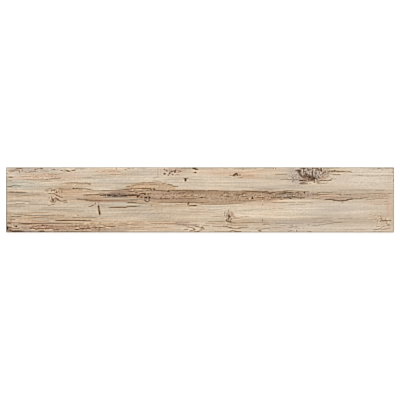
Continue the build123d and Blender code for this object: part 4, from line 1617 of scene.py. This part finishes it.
def print_and_emboss(plank, sizes, inks):
    """Prints the face into the mesh, and presses the dark marks and the grain into it."""
    mesh = plank.data
    places = read_all(mesh.vertices, "co", 3)
    top = np.flatnonzero(places[:, 2] > sizes.thickness - HAIR)
    along = np.round((places[top, 0] + sizes.length / 2) / MILLIMETRE, 3)
    across = np.round((sizes.width / 2 - places[top, 1]) / MILLIMETRE, 3)
    along_cells, column = np.unique(along, return_inverse=True)
    across_cells, row = np.unique(across, return_inverse=True)
    colour, flow = print_face(along_cells, across_cells, inks)
    colour = colour[row, column]
    flow = flow[row, column]

    printed = np.tile(linear(np.array(inks.ground)), (len(places), 1))
    printed[top] = linear(colour)
    mesh.attributes.new(PRINT, "FLOAT_VECTOR", "POINT").data.foreach_set("vector", printed.ravel())
    flowing = np.zeros(len(places))
    flowing[top] = flow * MILLIMETRE
    mesh.attributes.new(FLOW, "FLOAT", "POINT").data.foreach_set("value", flowing)

    # The darker the print, the deeper the press, over a shallow run of grain
    darkness = np.clip((PRESS_LIGHT - colour @ np.array(LIGHT_WEIGHTS)) / PRESS_RANGE, 0.0, 1.0)
    grain = 0.5 + 0.5 * noise_over(along, flow, PRESS_GRAIN)
    depth = (1.0 - PRESS_GRAIN.strength) * darkness + PRESS_GRAIN.strength * grain
    depth = np.clip(depth, 0.0, 1.0)
    group = plank.vertex_groups.new(name=RELIEF)
    for index, weight in zip(top.tolist(), depth.tolist()):
        group.add((index,), weight, "REPLACE")

    press = plank.modifiers.new("Press", "DISPLACE")
    press.direction = "Z"
    press.vertex_group = RELIEF
    press.mid_level = 0.0
    press.strength = -sizes.relief
    deselect_objects()
    plank.select_set(True)
    bpy.context.view_layer.objects.active = plank
    bpy.ops.object.modifier_apply(modifier=press.name)
    bpy.ops.object.shade_smooth_by_angle(angle=SMOOTH_ANGLE)


def on_strip(strip, share):
    """Places on a strip of the map, from shares of its breadth."""
    return strip[0] + (strip[1] - strip[0]) * share


def map_plank(plank, sizes):
    """Lays the face, the back and the four sides out as strips of one map."""
    mesh = plank.data
    corners = read_all(mesh.loops, "vertex_index", kind=int)
    counts = read_all(mesh.polygons, "loop_total", kind=int)
    normals = np.repeat(read_all(mesh.polygons, "normal", 3), counts, axis=0)
    middles = np.repeat(read_all(mesh.polygons, "center", 3), counts, axis=0)

    half = (sizes.length / 2, sizes.width / 2)
    x, y, z = read_all(mesh.vertices, "co", 3)[corners].T
    share_x = x / sizes.length + 0.5
    share_y = y / sizes.width + 0.5
    share_z = z / sizes.thickness
    u = on_strip(MAP_ENDS, share_x)
    v = on_strip(MAP_BACK, share_y)
    at_face = normals[:, 2] > FACING_UP
    v[at_face] = on_strip(MAP_FACE, share_y[at_face])
    for strip, (axis, sign) in zip(MAP_SIDES, ((0, -1), (0, 1), (1, -1), (1, 1))):
        at_side = sign * middles[:, axis] > half[axis] - 2 * sizes.arris
        at_side &= sign * normals[:, axis] > FACING_OUT
        v[at_side] = on_strip(strip, share_z[at_side])
        if axis == 0:
            u[at_side] = on_strip(MAP_ENDS, share_y[at_side])
    layer = mesh.uv_layers.new(name=BAKE_MAP)
    layer.uv.foreach_set("vector", np.stack((u, v), axis=1).ravel())


# Materials

# What the noises of both finishes share
NOISE_DETAIL = 3.0
FINE_DETAIL = 2.0
NOISE_ROUGHNESS = 0.55
FALLING = (1.0, 0.0)

# The printed face: grains along x, y and z in metres, the noise read from them and what it does
GROWTH_GRAIN = (0.26, 0.0085, 1.0)
FIBRE_GRAIN = (0.075, 0.0028, 1.0)
PORE_GRAIN = (0.014, 0.0016, 1.0)
SAW_GRAIN = (0.0055, 0.07, 1.0)
FACE_NOISE = (0.25, 0.75)
GROWTH_TONE = (0.95, 1.05)
FIBRE_TONE = (0.93, 1.07)
SAW_TONE = (0.965, 1.035)
PORE_NOISE = (0.56, 0.74)
PORE_TONE = (1.0, 0.82)
FACE_ROUGHNESS = (0.62, 0.48)
FIBRE_HEIGHT = 0.6  # as a share of the growth rings' height
FACE_BUMP = 0.35
FACE_BUMP_DEPTH = 0.25 * MILLIMETRE
FACE_GLOSS = 0.07

# The fired body, in the same way
CLOUD_GRAIN = (0.03, 0.03, 0.03)
BODY_GRAIN = (0.0012, 0.0012, 0.0012)
GRINDING_GRAIN = (0.06, 0.06, 0.0006)
BODY_NOISE = (0.3, 0.7)
CLOUD_TONE = (0.93, 1.05)
GRINDING_TONE = (0.96, 1.04)
SPECK_NOISE = (0.58, 0.72)
SPECK_COVER = (0.0, 0.55)
BODY_ROUGHNESS = (0.78, 0.9)
BODY_BUMP = 0.3
BODY_BUMP_DEPTH = 0.12 * MILLIMETRE
BODY_GLOSS = 0.25

# Kiln wash: a chalky film that the rollers leave on the feet of the ribs
FOOT_HEIGHT = (0.05 * MILLIMETRE, 0.15 * MILLIMETRE)
FOOT_FACING = (-0.9, -0.6)
SMEAR_GRAIN = (0.025, 0.006, 0.02)
SMEAR_NOISE = (0.36, 0.62)
WASH_COVER = (0.15, 0.85)


class Shader:
    """A material with one principled surface, and short ways to add nodes to it."""

    def __init__(self, name):
        self.material = bpy.data.materials.new(name)
        self.material.use_nodes = True
        self.tree = self.material.node_tree
        self.surface = self.tree.nodes["Principled BSDF"]
        self.places = self.add("ShaderNodeTexCoord").outputs["Object"]

    def fill(self, socket, value):
        """Joins an input to an output, or sets it to a constant."""
        if isinstance(value, bpy.types.NodeSocket):
            self.tree.links.new(value, socket)
        else:
            socket.default_value = value

    def give(self, name, value):
        """Joins or sets an input of the surface."""
        self.fill(self.surface.inputs[name], value)

    def add(self, kind, inputs=None, **settings):
        """Adds a node, sets it up and joins or sets its inputs, given by name or number."""
        node = self.tree.nodes.new(kind)
        for name, value in settings.items():
            setattr(node, name, value)
        for name, value in (inputs or {}).items():
            self.fill(node.inputs[name], value)
        return node

    def axis(self, vector, name):
        """One axis of a vector."""
        return self.add("ShaderNodeSeparateXYZ", {"Vector": vector}).outputs[name]

    def stretched_noise(self, places, grain, detail=NOISE_DETAIL):
        """Noise stretched to a grain of the given sizes along x, y and z, in metres."""
        scale = tuple(1.0 / size for size in grain)
        moved = self.add("ShaderNodeMapping", {"Vector": places, "Scale": scale}).outputs["Vector"]
        inputs = {"Vector": moved, "Scale": 1.0, "Detail": detail, "Roughness": NOISE_ROUGHNESS}
        return self.add("ShaderNodeTexNoise", inputs).outputs["Fac"]

    def spread(self, value, source, result):
        """Maps a value's range from one low and high to another, and clamps it."""
        inputs = {"Value": value}
        inputs.update({"From Min": source[0], "From Max": source[1]})
        inputs.update({"To Min": result[0], "To Max": result[1]})
        return self.add("ShaderNodeMapRange", inputs).outputs["Result"]

    def maths(self, operation, first, second):
        """One sum on two values."""
        return self.add("ShaderNodeMath", {0: first, 1: second}, operation=operation).outputs["Value"]

    def product(self, first, *others):
        """The product of several values."""
        for other in others:
            first = self.maths("MULTIPLY", first, other)
        return first

    def toned(self, colour, tone):
        """A colour made lighter or darker by a tone."""
        inputs = {0: colour, "Scale": tone}
        return self.add("ShaderNodeVectorMath", inputs, operation="SCALE").outputs["Vector"]

    def mix(self, share, first, second):
        """A blend of two colours."""
        node = self.add("ShaderNodeMix", data_type="RGBA")
        sockets = {socket.name: socket for socket in node.inputs if socket.enabled}
        for name, value in (("Factor", share), ("A", first), ("B", second)):
            self.fill(sockets[name], value)
        return next(socket for socket in node.outputs if socket.enabled)

    def bump(self, height, strength, depth):
        """A normal that rises and falls with a height."""
        inputs = {"Height": height, "Strength": strength, "Distance": depth}
        return self.add("ShaderNodeBump", inputs).outputs["Normal"]


def opaque(colour):
    """A display colour as a linear one with full cover."""
    return (*linear(np.array(colour)).tolist(), 1.0)


def glazed_print():
    """The printed, matt-glazed face: the print, the grain in it and its fine relief."""
    shader = Shader("matt wood print")
    printed = shader.add("ShaderNodeAttribute", attribute_name=PRINT).outputs["Vector"]
    flow = shader.add("ShaderNodeAttribute", attribute_name=FLOW).outputs["Fac"]
    along = shader.axis(shader.places, "X")
    grain = shader.add("ShaderNodeCombineXYZ", {"X": along, "Y": flow}).outputs["Vector"]

    growth = shader.stretched_noise(grain, GROWTH_GRAIN)
    fibre = shader.stretched_noise(grain, FIBRE_GRAIN)
    pores = shader.stretched_noise(grain, PORE_GRAIN)
    saw = shader.stretched_noise(shader.places, SAW_GRAIN)
    tone = shader.product(
        shader.spread(growth, FACE_NOISE, GROWTH_TONE),
        shader.spread(fibre, FACE_NOISE, FIBRE_TONE),
        shader.spread(pores, PORE_NOISE, PORE_TONE),
        shader.spread(saw, FACE_NOISE, SAW_TONE),
    )
    height = shader.maths("ADD", growth, shader.product(fibre, FIBRE_HEIGHT))
    shader.give("Base Color", shader.toned(printed, tone))
    shader.give("Roughness", shader.spread(fibre, FACE_NOISE, FACE_ROUGHNESS))
    shader.give("Normal", shader.bump(height, FACE_BUMP, FACE_BUMP_DEPTH))
    shader.give("Specular IOR Level", FACE_GLOSS)
    return shader.material


def fired_body(colours):
    """The unglazed body: fine grains, faint grinding lines on the sides and kiln wash on the feet."""
    shader = Shader("fired porcelain body")
    cloud = shader.stretched_noise(shader.places, CLOUD_GRAIN)
    grains = shader.stretched_noise(shader.places, BODY_GRAIN, FINE_DETAIL)
    ground_lines = shader.stretched_noise(shader.places, GRINDING_GRAIN, FINE_DETAIL)
    specks = shader.spread(grains, SPECK_NOISE, SPECK_COVER)
    coloured = shader.mix(specks, opaque(colours.body), opaque(colours.speck))
    tone = shader.product(
        shader.spread(cloud, BODY_NOISE, CLOUD_TONE),
        shader.spread(ground_lines, BODY_NOISE, GRINDING_TONE),
    )

    height = shader.axis(shader.places, "Z")
    facing = shader.axis(shader.add("ShaderNodeNewGeometry").outputs["Normal"], "Z")
    smear = shader.stretched_noise(shader.places, SMEAR_GRAIN)
    wash = shader.product(
        shader.spread(height, FOOT_HEIGHT, FALLING),
        shader.spread(facing, FOOT_FACING, FALLING),
        shader.spread(smear, SMEAR_NOISE, WASH_COVER),
    )

    rough = shader.maths("ADD", grains, ground_lines)
    shader.give("Base Color", shader.mix(wash, shader.toned(coloured, tone), opaque(colours.wash)))
    shader.give("Roughness", shader.spread(grains, BODY_NOISE, BODY_ROUGHNESS))
    shader.give("Normal", shader.bump(rough, BODY_BUMP, BODY_BUMP_DEPTH))
    shader.give("Specular IOR Level", BODY_GLOSS)
    return shader.material


def give_finishes(plank, colours):
    """Gives the face its print and the arris, sides and back their body."""
    plank.data.materials.append(glazed_print())
    plank.data.materials.append(fired_body(colours))
    normals = read_all(plank.data.polygons, "normal", 3)
    bare = (normals[:, 2] < FACING_UP).astype(int)
    plank.data.polygons.foreach_set("material_index", bare)


# Operators

class PLANK_OT_press(Operator):
    """Press, print and finish the plank"""

    bl_idname = "plank.press"
    bl_label = "Press plank"

    def execute(self, context):
        scene = context.scene
        sizes = scene.plank_sizes
        plank = press_plank(sizes)
        print_and_emboss(plank, sizes, scene.plank_inks)
        map_plank(plank, sizes)
        give_finishes(plank, scene.plank_body)
        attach(plank, "root")
        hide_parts(NODE)
        return {"FINISHED"}


# The picture's frame, the floor and the key light
FRAME_PIXELS = 400  # side of the square picture
PLANK_PIXELS = 388.0  # length of the plank in that picture
PLANK_RISE = 0.15  # pixels that the plank's middle lies above the picture's
CAMERA_REACH = 100.0
FLOOR_SIZE = 12.0
FLOOR_ROUGHNESS = 0.9
KEY_PLACE = (-0.5, 1.5, 2.2)
KEY_SIZE = 2.0


class PLANK_OT_stage(Operator):
    """Set the floor, the light and the camera"""

    bl_idname = "plank.stage"
    bl_label = "Set stage"

    def execute(self, context):
        scene = context.scene
        studio = scene.plank_studio
        self.add_floor(studio)
        self.add_light(scene, studio)
        self.add_camera(scene, studio, scene.plank_sizes)
        scene.view_settings.view_transform = "Standard"
        return {"FINISHED"}

    def add_floor(self, studio):
        """Lays the pale floor under the plank."""
        deselect_objects()
        bpy.ops.mesh.primitive_plane_add(size=FLOOR_SIZE, location=ORIGIN)
        floor = bpy.context.object
        floor.name = "floor"
        shader = Shader("studio floor")
        shader.give("Base Color", opaque(studio.floor))
        shader.give("Roughness", FLOOR_ROUGHNESS)
        shader.give("Specular IOR Level", 0.0)
        shader.give("Emission Color", WHITE)
        shader.give("Emission Strength", studio.floor_glow)
        floor.data.materials.append(shader.material)

    def add_light(self, scene, studio):
        """Lights the plank from all round, and a little more from behind."""
        world = bpy.data.worlds.new("studio")
        scene.world = world
        world.use_nodes = True
        sky = world.node_tree.nodes["Background"]
        sky.inputs["Color"].default_value = WHITE
        sky.inputs["Strength"].default_value = studio.sky
        bpy.ops.object.light_add(type="AREA", location=KEY_PLACE)
        lamp = bpy.context.object
        lamp.name = "key"
        lamp.data.shape = "SQUARE"
        lamp.data.size = KEY_SIZE
        lamp.data.energy = studio.key_power
        lamp.rotation_euler = (-lamp.location).to_track_quat("-Z", "Y").to_euler()

    def add_camera(self, scene, studio, sizes):
        """Looks straight down, with the plank as large as in the photograph."""
        bpy.ops.object.camera_add(location=ORIGIN, rotation=ORIGIN)
        camera = bpy.context.object
        camera.name = "camera"
        camera.data.lens = studio.lens
        view_width = sizes.length * FRAME_PIXELS / PLANK_PIXELS
        camera.location.y = -PLANK_RISE * sizes.length / PLANK_PIXELS
        camera.location.z = sizes.thickness + view_width * studio.lens / camera.data.sensor_width
        camera.data.clip_end = CAMERA_REACH
        scene.camera = camera


class PLANK_PT_sidebar(Panel):
    """Lists the plank's steps and what they read"""

    bl_label = "Wood-look plank"
    bl_idname = "PLANK_PT_sidebar"
    bl_space_type = "VIEW_3D"
    bl_region_type = "UI"
    bl_category = "Plank"

    def draw(self, context):
        layout = self.layout
        for operator in (PLANK_OT_press, PLANK_OT_stage):
            layout.operator(operator.bl_idname)
        for name in SETTINGS:
            box = layout.box()
            settings = getattr(context.scene, name)
            for setting in settings.__annotations__:
                box.prop(settings, setting)


SETTINGS = {
    "plank_sizes": PlankSizes,
    "plank_inks": PrintInks,
    "plank_body": BodyColours,
    "plank_studio": StudioSettings,
}
CLASSES = (*SETTINGS.values(), PLANK_OT_press, PLANK_OT_stage, PLANK_PT_sidebar)


def register():
    """Registers the add-on's classes, and its settings on the scene."""
    for cls in CLASSES:
        bpy.utils.register_class(cls)
    for name, group in SETTINGS.items():
        setattr(bpy.types.Scene, name, PointerProperty(type=group))


def unregister():
    """Removes the settings and the classes again."""
    for name in SETTINGS:
        delattr(bpy.types.Scene, name)
    for cls in reversed(CLASSES):
        bpy.utils.unregister_class(cls)


def main():
    """Makes the plank and its stage."""
    register()
    bpy.ops.plank.press()
    bpy.ops.plank.stage()
    bpy.context.view_layer.update()


if __name__ == "__main__":
    main()
